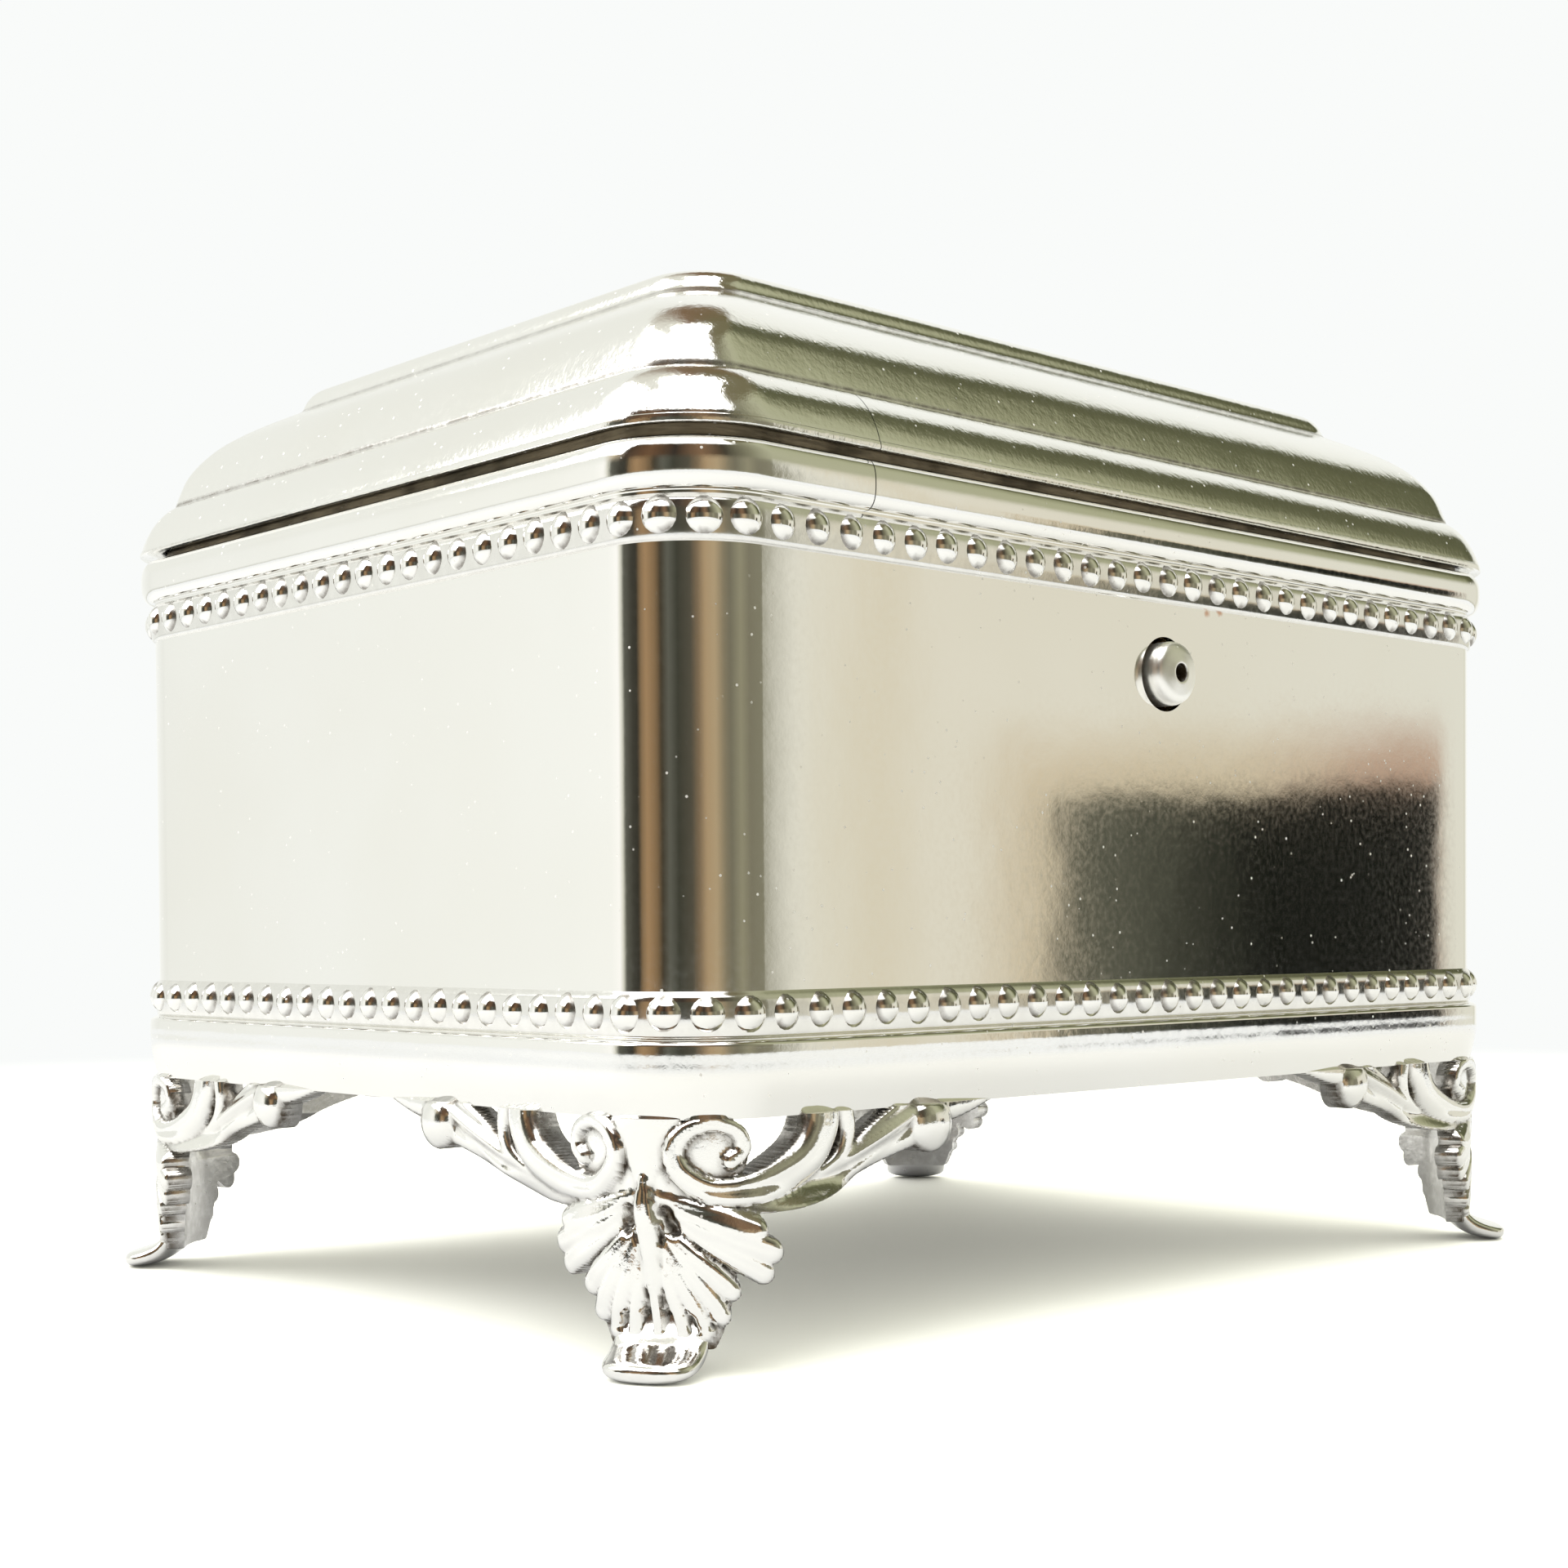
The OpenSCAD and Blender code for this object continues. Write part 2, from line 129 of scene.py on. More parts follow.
def finish_piece(bm, name, material, body, stands_for=(), sharp=SHARP):
    """Scales a mesh drawn in millimetres to metres and makes it a piece that rides on a body."""
    bmesh.ops.scale(bm, vec=(MM, MM, MM), verts=bm.verts)
    for f in bm.faces:
        f.smooth = True
    for e in bm.edges:
        if len(e.link_faces) == 2 and e.calc_face_angle(0) > sharp:
            e.smooth = False
    mesh = bpy.data.meshes.new(name)
    bm.to_mesh(mesh)
    bm.free()
    piece = bpy.data.objects.new(name, mesh)
    bpy.context.scene.collection.objects.link(piece)
    piece.data.materials.append(material)
    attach(piece, body)
    if stands_for:
        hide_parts(*stands_for)
    return piece


def sweep(bm, section, slit=None):
    """Carries a closed section of (offset outwards, height) round the box from the middle of the front,
    or from a slit (place, width) in the front, where the two ends are capped."""
    x0, gap = slit if slit else (0.0, 0.0)
    start = x0 + gap / 2
    verts = [bm.verts.new((start, -HALF_Y - o, z)) for o, z in section]
    geom = [bm.edges.new((verts[i - 1], verts[i])) for i in range(len(verts))] + verts
    if slit:
        geom.append(bm.faces.new(verts))
    straight_x, straight_y = 2 * (HALF_X - CORNER), 2 * (HALF_Y - CORNER)
    runs = [
        (HALF_X - CORNER - start, (1, 0)),
        (straight_y, (0, 1)),
        (straight_x, (-1, 0)),
        (straight_y, (0, -1)),
        (HALF_X - CORNER + start - gap, (1, 0)),
    ]
    centres = [(1, -1), (1, 1), (-1, 1), (-1, -1)]
    for i, (length, (dx, dy)) in enumerate(runs):
        n = max(2, round(length / 6))
        step = (dx * length / n, dy * length / n, 0)
        geom = bmesh.ops.spin(
            bm, geom=geom, cent=(0, 0, 0), axis=(0, 0, 1), dvec=step, angle=0, steps=n
        )["geom_last"]
        if i < 4:
            sx, sy = centres[i]
            cent = (sx * (HALF_X - CORNER), sy * (HALF_Y - CORNER), 0)
            geom = bmesh.ops.spin(
                bm, geom=geom, cent=cent, axis=(0, 0, 1), angle=math.pi / 2, steps=CORNER_STEPS
            )["geom_last"]
    bmesh.ops.remove_doubles(bm, verts=bm.verts, dist=0.002)
    bmesh.ops.recalc_face_normals(bm, faces=bm.faces)


def box_loop(bm, off, z, least_r, sides=(22, 16), steps=16):
    """One closed loop of vertices round the box at an offset and height; returns its edges."""
    r = max(least_r, CORNER + off)
    ax, ay = HALF_X + off - r, HALF_Y + off - r
    points = []
    for q, (sx, sy) in enumerate([(1, 1), (-1, 1), (-1, -1), (1, -1)]):
        for i in range(steps + 1):
            a = math.pi / 2 * (q + i / steps)
            points.append(Vector((sx * ax + r * math.cos(a), sy * ay + r * math.sin(a), z)))
        nx, ny = [(-1, 1), (-1, -1), (1, -1), (1, 1)][q]
        a = math.pi / 2 * (q + 1)
        far = Vector((nx * ax + r * math.cos(a), ny * ay + r * math.sin(a), z))
        n = sides[q % 2]
        here = points[-1]
        points += [here.lerp(far, i / n) for i in range(1, n)]
    verts = [bm.verts.new(p) for p in points]
    return [bm.edges.new((verts[i - 1], verts[i])) for i in range(len(verts))]


def bridge(bm, loops):
    """Joins each loop of edges to the next."""
    for a, b in zip(loops, loops[1:]):
        bmesh.ops.bridge_loops(bm, edges=a + b)


# ---------- finishes ----------


class Nodes:
    """Short ways to add and join shader nodes."""

    def __init__(self, tree):
        self.tree = tree
        tree.nodes.clear()

    def add(self, kind, **settings):
        node = self.tree.nodes.new(kind)
        for key, value in settings.items():
            setattr(node, key, value)
        return node

    def join(self, a, b):
        self.tree.links.new(a, b)

    def math(self, op, a, b=None):
        node = self.add("ShaderNodeMath", operation=op)
        for i, value in enumerate((a, b)):
            if value is None:
                continue
            if isinstance(value, (int, float)):
                node.inputs[i].default_value = value
            else:
                self.join(value, node.inputs[i])
        return node.outputs[0]

    def remap(self, value, lo, hi, to_lo=0.0, to_hi=1.0, kind="SMOOTHSTEP"):
        node = self.add("ShaderNodeMapRange", interpolation_type=kind)
        self.join(value, node.inputs["Value"])
        for name, v in (("From Min", lo), ("From Max", hi), ("To Min", to_lo), ("To Max", to_hi)):
            node.inputs[name].default_value = v
        return node.outputs["Result"]

    def mix(self, fac, a, b):
        node = self.add("ShaderNodeMix", data_type="RGBA")
        for socket, value in ((node.inputs[0], fac), (node.inputs[6], a), (node.inputs[7], b)):
            if isinstance(value, (int, float)):
                socket.default_value = value
            elif isinstance(value, tuple):
                socket.default_value = (*value, 1) if len(value) == 3 else value
            else:
                self.join(value, socket)
        return node.outputs[2]

    def noise(self, vector, scale, detail=2.0, rough=0.5):
        node = self.add("ShaderNodeTexNoise")
        node.inputs["Scale"].default_value = scale
        node.inputs["Detail"].default_value = detail
        node.inputs["Roughness"].default_value = rough
        self.join(vector, node.inputs["Vector"])
        return node.outputs["Fac"]

    def mapped(self, vector, scale=(1, 1, 1), turn=(0, 0, 0), move=(0, 0, 0)):
        node = self.add("ShaderNodeMapping")
        node.inputs["Scale"].default_value = scale
        node.inputs["Rotation"].default_value = turn
        node.inputs["Location"].default_value = move
        self.join(vector, node.inputs["Vector"])
        return node.outputs["Vector"]


def new_material(name):
    """A material with one principled shader, its node helper and its object coordinates."""
    material = bpy.data.materials.new(name)
    material.use_nodes = True
    n = Nodes(material.node_tree)
    shader = n.add("ShaderNodeBsdfPrincipled")
    out = n.add("ShaderNodeOutputMaterial")
    n.join(shader.outputs[0], out.inputs[0])
    where = n.add("ShaderNodeTexCoord").outputs["Object"]
    return material, n, shader, where


def bump_chain(n, shader, layers):
    """Stacks bumps given as (height, distance, strength)."""
    last = None
    for height, distance, strength in layers:
        node = n.add("ShaderNodeBump")
        node.inputs["Distance"].default_value = distance
        node.inputs["Strength"].default_value = strength
        n.join(height, node.inputs["Height"])
        if last is not None:
            n.join(last, node.inputs["Normal"])
        last = node.outputs["Normal"]
    n.join(last, shader.inputs["Normal"])


def polished_silver(
    name, grain=0.5, wave=1.0, scratch=1.0, rough=0.07, tarnish_and_shade=False, spots=(), sparkle=1.0
):
    """Old silver plate: soft waves of hand polishing, fine scratches, pin pricks, and dark deposits of
    tarnish, whose mask also carries painted shade on the feet.
    Each of the spots, where copper shows through, is a (place, radius) in millimetres."""
    material, n, shader, where = new_material(name)
    shader.inputs["Metallic"].default_value = 1.0
    cloud = n.noise(where, 26, 3)
    fine = n.noise(where, 1500, 3, 0.6)
    tint = n.mix(n.remap(cloud, 0.35, 0.7), (0.965, 0.96, 0.94), (0.94, 0.93, 0.895))
    cells = n.add("ShaderNodeTexVoronoi", feature="F1")
    cells.inputs["Scale"].default_value = 700
    n.join(where, cells.inputs["Vector"])
    prick = n.remap(cells.outputs["Distance"], 0.12, 0.06)
    sparse = n.remap(n.noise(where, 210, 2), 0.44, 0.56)
    prick = n.math("MULTIPLY", prick, sparse)
    colour = tint
    for (x, y, z), size in spots:
        gap = n.add("ShaderNodeVectorMath", operation="DISTANCE")
        n.join(where, gap.inputs[0])
        gap.inputs[1].default_value = (x * MM, y * MM, z * MM)
        ragged = n.math("ADD", gap.outputs["Value"], n.math("MULTIPLY", n.noise(where, 900, 2), 0.0012))
        patch = n.remap(ragged, (size + 0.9) * MM, (size + 0.3) * MM)
        colour = n.mix(n.math("MULTIPLY", patch, 0.8), colour, (0.62, 0.33, 0.2))
    level = n.remap(fine, 0.3, 0.75, rough, rough + 0.04)
    level = n.math("ADD", level, n.math("MULTIPLY", prick, 0.5 * sparkle))
    # darkening from the attribute: tarnish in hollows and creases, and painted shade on the backs of the feet
    # and the tops of the toes
    if tarnish_and_shade:
        deep = n.add("ShaderNodeAttribute", attribute_name="tarnish_and_shade").outputs["Fac"]
        broken = n.remap(n.noise(where, 700, 4, 0.65), 0.3, 0.62)
        deep = n.math("MULTIPLY", deep, n.math("ADD", n.math("MULTIPLY", broken, 0.55), 0.45))
        colour = n.mix(deep, colour, (0.075, 0.052, 0.03))
        level = n.math("ADD", level, n.math("MULTIPLY", deep, 0.3))
    n.join(colour, shader.inputs["Base Color"])
    n.join(level, shader.inputs["Roughness"])
    layers = [(n.noise(where, 34, 2, 0.45), 0.004, 0.1 * wave)]
    layers.append((n.noise(where, 130, 2, 0.5), 0.0009, 0.1 * wave))
    for k, turn in enumerate([(0.3, 0.5, 0.2), (0.9, -0.4, 1.3), (-0.5, 1.1, 2.2)]):
        lines = n.noise(n.mapped(where, (60, 60, 5200), turn, (0.1 * k, 0.2, 0)), 1.0, 2, 0.6)
        mask = n.remap(n.noise(where, 55 + 20 * k, 2), 0.5, 0.66)
        cut = n.math("MULTIPLY", n.remap(lines, 0.64, 0.70), mask)
        layers.append((cut, 0.00006, -0.16 * scratch))
    layers.append((fine, 0.00009, grain))
    layers.append((prick, 0.0001, -0.4 * sparkle))
    bump_chain(n, shader, layers)
    return material


def metal(name, colour, worn, rough):
    """Plain working metal with a drawn grain and rubbed patches."""
    material, n, shader, where = new_material(name)
    shader.inputs["Metallic"].default_value = 1.0
    patch = n.remap(n.noise(where, 160, 3), 0.4, 0.68)
    n.join(n.mix(patch, colour, worn), shader.inputs["Base Color"])
    grain = n.noise(n.mapped(where, (400, 400, 4200)), 1.0, 3, 0.6)
    n.join(n.remap(grain, 0.3, 0.7, rough, rough + 0.16), shader.inputs["Roughness"])
    bump_chain(n, shader, [(grain, 0.00008, 0.5), (n.noise(where, 300, 2), 0.0003, 0.12)])
    return material


def velvet_cloth(name, deep, light):
    """Short-pile velvet with crushed patches and a fine nap."""
    material, n, shader, where = new_material(name)
    nap = n.noise(n.mapped(where, (1, 1.4, 1)), 5200, 3, 0.7)
    crushed = n.remap(n.noise(where, 70, 4, 0.6), 0.38, 0.66)
    tone = n.mix(crushed, deep, light)
    tone = n.mix(n.remap(nap, 0.3, 0.75, 0.0, 0.45), tone, tuple(0.45 * c for c in deep))
    n.join(tone, shader.inputs["Base Color"])
    shader.inputs["Roughness"].default_value = 0.9
    shader.inputs["Specular IOR Level"].default_value = 0.15
    shader.inputs["Sheen Weight"].default_value = 0.8
    shader.inputs["Sheen Roughness"].default_value = 0.4
    shader.inputs["Sheen Tint"].default_value = (0.95, 0.5, 0.52, 1)
    bump_chain(n, shader, [(crushed, 0.0006, 0.3), (nap, 0.0002, 0.7)])
    return material


COPPER_SPOTS = [((9.3, -HALF_Y, 72.2), 0.5), ((7.2, -HALF_Y, 71.8), 0.35)]
WALL_SILVER = polished_silver("wall_silver", grain=0.015, wave=0.16, rough=0.05, spots=COPPER_SPOTS)
MOULDING_SILVER = polished_silver("moulding_silver", grain=0.05, wave=0.4, rough=0.06)
BEAD_SILVER = polished_silver("bead_silver", grain=0.05, wave=0.3, scratch=0.3, tarnish_and_shade=True)
LID_SILVER = polished_silver("lid_silver", grain=0.3, wave=0.7, rough=0.09, tarnish_and_shade=True, sparkle=1.8)
CAST_SILVER = polished_silver("cast_silver", grain=0.25, wave=0.5, scratch=0.2, rough=0.09, tarnish_and_shade=True)
INNER_SILVER = polished_silver("inner_silver", grain=0.5, wave=0.8, rough=0.22)
BUTTON_SILVER = polished_silver(
    "button_silver", grain=0.12, wave=0.2, scratch=0.8, rough=0.3, tarnish_and_shade=True
)
# painted shade: the lid's bezel gets a dark brown copy of the silver, standing for the shade inside the lid
PAINTED_SHADE_SILVER = metal("painted_shade_silver", (0.22, 0.18, 0.12), (0.09, 0.075, 0.05), 0.4)
LOCK_BRASS = metal("lock_brass", (0.72, 0.52, 0.24), (0.55, 0.40, 0.2), 0.22)
LOCK_STEEL = metal("lock_steel", (0.55, 0.55, 0.56), (0.38, 0.37, 0.36), 0.2)
VELVET = velvet_cloth("velvet", (0.16, 0.012, 0.028), (0.30, 0.03, 0.06))


# ---------- case ----------


def make_wall():
    """The drawn sheet wall, with the lock's round hole in the front."""
    bm = bmesh.new()
    foot, e = BASE + 0.6, MOUTH_BEVEL
    outside = [(0, foot), (0, MOUTH - e), (-e, MOUTH)]
    inside = [(-SHEET + e, MOUTH), (-SHEET, MOUTH - e), (-SHEET, foot)]
    sweep(bm, outside + inside)
    wall = finish_piece(bm, "wall", WALL_SILVER, "case", ["wall_shell"])
    cutter = bmesh.new()
    turn = Matrix.Translation((0, -HALF_Y * MM, LOCK_Z * MM)) @ Matrix.Rotation(math.pi / 2, 4, "X")
    r = (BUTTON_R + BUTTON_GAP) * MM
    bmesh.ops.create_cone(
        cutter, cap_ends=True, segments=96, radius1=r, radius2=r, depth=4 * MM, matrix=turn
    )
    mesh = bpy.data.meshes.new("hole_cutter")
    cutter.to_mesh(mesh)
    cutter.free()
    tool = bpy.data.objects.new("hole_cutter", mesh)
    bpy.context.scene.collection.objects.link(tool)
    cut = wall.modifiers.new("hole", "BOOLEAN")
    cut.operation, cut.solver, cut.object = "DIFFERENCE", "EXACT", tool
    bpy.context.view_layer.update()
    depsgraph = bpy.context.evaluated_depsgraph_get()
    done = bpy.data.meshes.new_from_object(wall.evaluated_get(depsgraph))
    wall.modifiers.clear()
    wall.data = done
    bpy.data.objects.remove(tool)


def make_base():
    """The plain band between the lower beads and the feet, flaring a little from its foot."""
    bm = bmesh.new()
    band = [
        (0.35, 0), (0.62, 1.1), (0.88, 2.2), (1.04, 3.1), (1.11, 3.9), (1.12, 4.9), (1.12, 6.0), (1.0, 6.6),
        (0.2, 7.0),
    ]
    outer = curve_through([(o, BASE + z) for o, z in band])
    inner = [(-0.1, 7.05), (-0.1, 0.5), (-3, 0.5), (-3, 0)]
    sweep(bm, outer + [(o, BASE + z) for o, z in inner])
    finish_piece(bm, "base_band", MOULDING_SILVER, "case", ["base_moulding"])


def make_rim():
    """The wide half-round rim, slightly flattened, with its butt seam."""
    low, high, out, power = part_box("upper_rim")[0].z / MM, MOUTH, 1.5, 2.5
    half = (high - low) / 2
    bm = bmesh.new()
    arc = [
        (out * max(0.0, 1 - abs(t) ** power) ** (1 / power), low + half + half * t)
        for t in [math.sin(math.pi / 2 * (k / 12)) for k in range(-12, 13)]
    ]
    sweep(bm, arc + [(-0.1, high), (-0.1, low)], slit=RIM_SEAM)
    notch_back(bm)
    finish_piece(bm, "rim", MOULDING_SILVER, "case", ["upper_rim"])


def notch_back(bm):
    """Clears the middle of the back for the hinge, closing the two cut ends."""
    span = HINGE_HALF + HINGE_GAP
    for sign in (1, -1):
        bmesh.ops.bisect_plane(
            bm,
            geom=bm.verts[:] + bm.edges[:] + bm.faces[:],
            dist=0.0001,
            plane_co=(sign * span, 0, 0),
            plane_no=(sign, 0, 0),
        )
    middles = [(f, f.calc_center_median()) for f in bm.faces]
    gone = [f for f, middle in middles if abs(middle.x) < span and middle.y > 0]
    bmesh.ops.delete(bm, geom=gone, context="FACES")
    open_edges = [e for e in bm.edges if len(e.link_faces) == 1]
    bmesh.ops.holes_fill(bm, edges=open_edges, sides=0)
    bmesh.ops.recalc_face_normals(bm, faces=bm.faces)


def bead_places():
    """Places of the beads round the box: (point on the wall, outward direction in degrees)."""
    sx, sy = 2 * (HALF_X - CORNER), 2 * (HALF_Y - CORNER)
    nx, ny = round(sx / BEAD_PITCH), round(sy / BEAD_PITCH)
    nc = int(math.pi / 2 * (CORNER + 1) / BEAD_PITCH)
    out = []
    for i in range(nx):
        x = (i + 0.5) * sx / nx - sx / 2
        out += [((x, -HALF_Y), -90), ((x, HALF_Y), 90)]
    for i in range(ny):
        y = (i + 0.5) * sy / ny - sy / 2
        out += [((HALF_X, y), 0), ((-HALF_X, y), 180)]
    for q, (qx, qy) in enumerate([(1, 1), (-1, 1), (-1, -1), (1, -1)]):
        for i in range(nc):
            turn = 90 * q + 90 * (i + 0.5) / nc
            a = math.radians(turn)
            place = (qx * sx / 2 + CORNER * math.cos(a), qy * sy / 2 + CORNER * math.sin(a))
            out.append((place, turn))
    return out


def outside_wall(x, y):
    """How far a point stands out from the wall's outer face."""
    ax, ay = abs(x) - (HALF_X - CORNER), abs(y) - (HALF_Y - CORNER)
    if ax > 0 and ay > 0:
        return math.hypot(ax, ay) - CORNER
    return max(ax, ay) - CORNER


def make_beading(name, node, z, seed):
    """A beaded strip: pearls that nearly touch, on a low rounded ribbon."""
    rng = random.Random(seed)
    pearl = bmesh.new()
    bmesh.ops.create_uvsphere(pearl, u_segments=18, v_segments=12, radius=BEAD_R)
    bmesh.ops.rotate(pearl, cent=(0, 0, 0), matrix=Matrix.Rotation(math.pi / 2, 3, "Y"), verts=pearl.verts)
    bmesh.ops.translate(pearl, vec=(-BEAD_SUNK, 0, 0), verts=pearl.verts)
    bmesh.ops.bisect_plane(
        pearl,
        geom=pearl.verts[:] + pearl.edges[:] + pearl.faces[:],
        plane_co=(0, 0, 0),
        plane_no=(1, 0, 0),
        clear_inner=True,
    )
    bmesh.ops.holes_fill(pearl, edges=[e for e in pearl.edges if len(e.link_faces) == 1], sides=0)
    mesh = bpy.data.meshes.new("pearl")
    pearl.to_mesh(mesh)
    pearl.free()
    bm = bmesh.new()
    for (x, y), turn in bead_places():
        first = len(bm.verts)
        bm.from_mesh(mesh)
        bm.verts.ensure_lookup_table()
        new = bm.verts[first:]
        size = 1 + rng.uniform(-0.035, 0.035)
        lean = rng.uniform(-3, 3)
        place = (
            Matrix.Translation((x, y, z + rng.uniform(-0.07, 0.07)))
            @ Matrix.Rotation(math.radians(turn + lean), 4, "Z")
            @ Matrix.Diagonal((1, size, size * rng.uniform(0.98, 1.03), 1))
        )
        bmesh.ops.transform(bm, matrix=place, verts=new)
    bpy.data.meshes.remove(mesh)
    pearls = len(bm.verts)
    low, high = z - 2.15, z + 1.95
    ribbon = curve_through(
        [(0.02, low), (0.34, low + 0.25), (0.48, low + 1.2), (0.5, z), (0.42, high - 0.7), (0.04, high)]
    )
    strip = bmesh.new()
    sweep(strip, ribbon + [(-0.1, high), (-0.1, low)])
    flat = bpy.data.meshes.new("ribbon")
    strip.to_mesh(flat)
    strip.free()
    bm.from_mesh(flat)
    bpy.data.meshes.remove(flat)
    bm.verts.ensure_lookup_table()
    layer = bm.verts.layers.float.new("tarnish_and_shade")
    for v in bm.verts[:pearls]:
        v[layer] = 0.0 if outside_wall(v.co.x, v.co.y) > 0.62 else 0.7
    for v in bm.verts[pearls:]:
        v[layer] = 0.12
    finish_piece(bm, name, BEAD_SILVER, "case", [node])


# ---------- feet ----------

# Each stroke of the relief: points of (distance round from the corner, height, half width, lift),
# then how domed it is, how deep its middle groove is, and how strongly it is twisted like rope.
SCROLL_STROKES = [
    # domed knob that ends the wing, its neck, and the pointed tip beyond it
    ([(30.6, 20.4, 2.6, 0.15), (30.3, 20.5, 2.6, 0.15)], 0.62, 0, 0),
    ([(32.6, 21.9, 1.5, 0.1), (35.8, 22.1, 0.9, 0.1), (39.2, 22.5, 0.25, 0)], 0.5, 0, 0),
    ([
        (29, 19.9, 1.3, 0), (26.2, 18.9, 0.95, 0), (23.6, 18.2, 0.95, 0), (20.5, 17.2, 1.0, 0),
    ], 0.6, 0, 0),
    # twisted arm up to the base
    ([
        (17.5, 16.3, 0.9, 0), (20.4, 17.7, 1.35, 0.1), (23.6, 19.6, 1.5, 0.15),
        (26.6, 21.2, 1.45, 0.1), (29.2, 22.6, 1.2, 0),
    ], 0.62, 0, 0.28),
    # lower edge of the scroll, running in to the leaf
    ([
        (22.6, 17.9, 0.8, 0), (18.6, 16.4, 1.15, 0), (14.5, 15.6, 1.25, 0), (10.5, 15.4, 1.3, 0),
        (6.6, 15.6, 1.3, -0.1), (3.4, 16.3, 1.3, -0.2),
    ], 0.4, 0, 0),
    # horn between the two windows
    ([
        (19.6, 22.7, 1.05, 0.1), (19.9, 20.6, 0.95, 0.2), (19.2, 18.6, 0.8, 0.25),
        (17.2, 17.2, 0.6, 0.2), (14.6, 16.4, 0.4, 0.1),
    ], 0.7, 0, 0),
    # the C-scroll, rolled up at its inner end
    ([
        (16.8, 22.8, 2.0, 0.1), (16.5, 20.9, 2.05, 0.2), (15.1, 18.8, 1.95, 0.3),
        (12.3, 17.2, 1.75, 0.35), (9.0, 16.3, 1.35, 0.4), (5.8, 16.2, 1.1, 0.45),
        (3.5, 17.6, 0.95, 0.5), (2.75, 19.6, 0.85, 0.5), (3.9, 21.4, 0.78, 0.5), (6.0, 22.0, 0.7, 0.5),
        (7.9, 21.2, 0.66, 0.5), (8.3, 19.6, 0.66, 0.5), (7.3, 18.7, 0.7, 0.55),
    ], 0.62, 0.1, 0),
    # dished face inside the roll
    ([(5.9, 19.1, 2.9, 0.05), (6.1, 19.3, 2.9, 0.05)], 0.06, 0, 0),
    # shield between the two rolls
    ([
        (0, 22.8, 3.6, 0.1), (0, 20.6, 2.6, 0.05), (0, 18.8, 1.6, 0.05), (0, 17.2, 0.9, 0.1),
    ], 0.16, 0.0, 0),
]

LEAF_STROKES = [
    # thin body of the leaf under its flutes
    ([
        (0, 16, 1.4, -0.1), (0, 14, 4.2, -0.1), (0, 12, 6.6, -0.1), (0, 10, 7.6, -0.1),
        (0, 8, 6.9, -0.1), (0, 6, 6.2, -0.1), (0, 4.4, 5.2, -0.1), (0, 2.6, 4.3, -0.1),
    ], 0.05, 0, 0),
    # side lobes, three flutes each
    ([
        (1.3, 15.6, 0.4, 0.1), (4.2, 14.6, 0.85, 0.25), (7.4, 13.7, 1.15, 0.3), (9.6, 12.9, 1.2, 0.2),
    ], 0.55, 0.1, 0),
    ([
        (1.6, 15.0, 0.4, 0.1), (4.7, 13.4, 0.85, 0.25), (8.0, 12.0, 1.15, 0.3),
        (10.7, 11.0, 1.25, 0.2),
    ], 0.55, 0.1, 0),
    ([
        (1.9, 14.2, 0.4, 0.05), (4.8, 12.1, 0.85, 0.2), (7.7, 10.4, 1.15, 0.25), (9.8, 9.2, 1.2, 0.15),
    ], 0.55, 0.1, 0),
    # hanging palmette, lying over the side lobes
    ([
        (1.8, 12.6, 0.4, 0.4), (4.0, 10.4, 0.85, 0.5), (5.7, 8.8, 1.0, 0.45), (6.8, 7.6, 1.05, 0.3),
    ], 0.55, 0.1, 0),
    ([
        (1.6, 11.8, 0.4, 0.45), (3.4, 9.2, 0.8, 0.55), (5.0, 6.9, 0.95, 0.5), (5.7, 5.4, 1.0, 0.35),
    ], 0.55, 0.1, 0),
    ([
        (1.3, 11.2, 0.4, 0.5), (2.45, 8.4, 0.72, 0.6), (3.6, 5.9, 0.85, 0.55), (4.1, 3.9, 0.9, 0.4),
    ], 0.6, 0.1, 0),
    ([
        (0.95, 10.6, 0.35, 0.5), (1.4, 8.0, 0.6, 0.6), (2.0, 5.6, 0.72, 0.55), (2.35, 3.5, 0.78, 0.4),
    ], 0.6, 0.08, 0),
    # middle leaflet and the rib below it
    ([
        (0, 17.0, 0.45, 0.25), (0, 14.8, 0.9, 0.5), (0, 12.6, 1.05, 0.6), (0, 9.4, 0.75, 0.6),
        (0, 6, 0.55, 0.55), (0, 3.6, 0.62, 0.4),
    ], 0.65, 0.16, 0),
]
# dark hollows: beside the leaflet, and between the ribs where they run out on the toe
LEAF_HOLLOWS = [
    ((1.85, 14.3), (2.3, 12.8), 0.6, 1.1),
    ((1.15, 5.4), (1.25, 4.1), 0.36, 0.7),
    ((3.15, 5.1), (3.4, 4.1), 0.34, 0.6),
]
# spacing of the foot's sheet of points, how far it reaches round each way, and its lowest height
GRID = 0.24
REACH = 40.0
LEAF_LOW = 2.5
# radius on which the leaf bends, gentler than the corner's
LEAF_BEND = 19.0
# softness of the joins between strokes, and the twisted arm's rope pitch
JOIN = 0.07
ROPE_PITCH = 1.9


def foot_level(z):
    """Offset of the foot's ground from the wall, by height: it draws in below the base and hangs straight."""
    return np.interp(z, [2, 4, 8, 12, 15, 18, 22.5], [-0.75, -0.85, -0.7, -0.55, -0.15, 0.1, 0.2])


def foot_back(z):
    """Offset of the foot's rough back from the wall, by height."""
    return np.interp(z, [2, 6, 12, 16, 22.5], [-2.7, -2.9, -2.9, -2.0, -1.7])


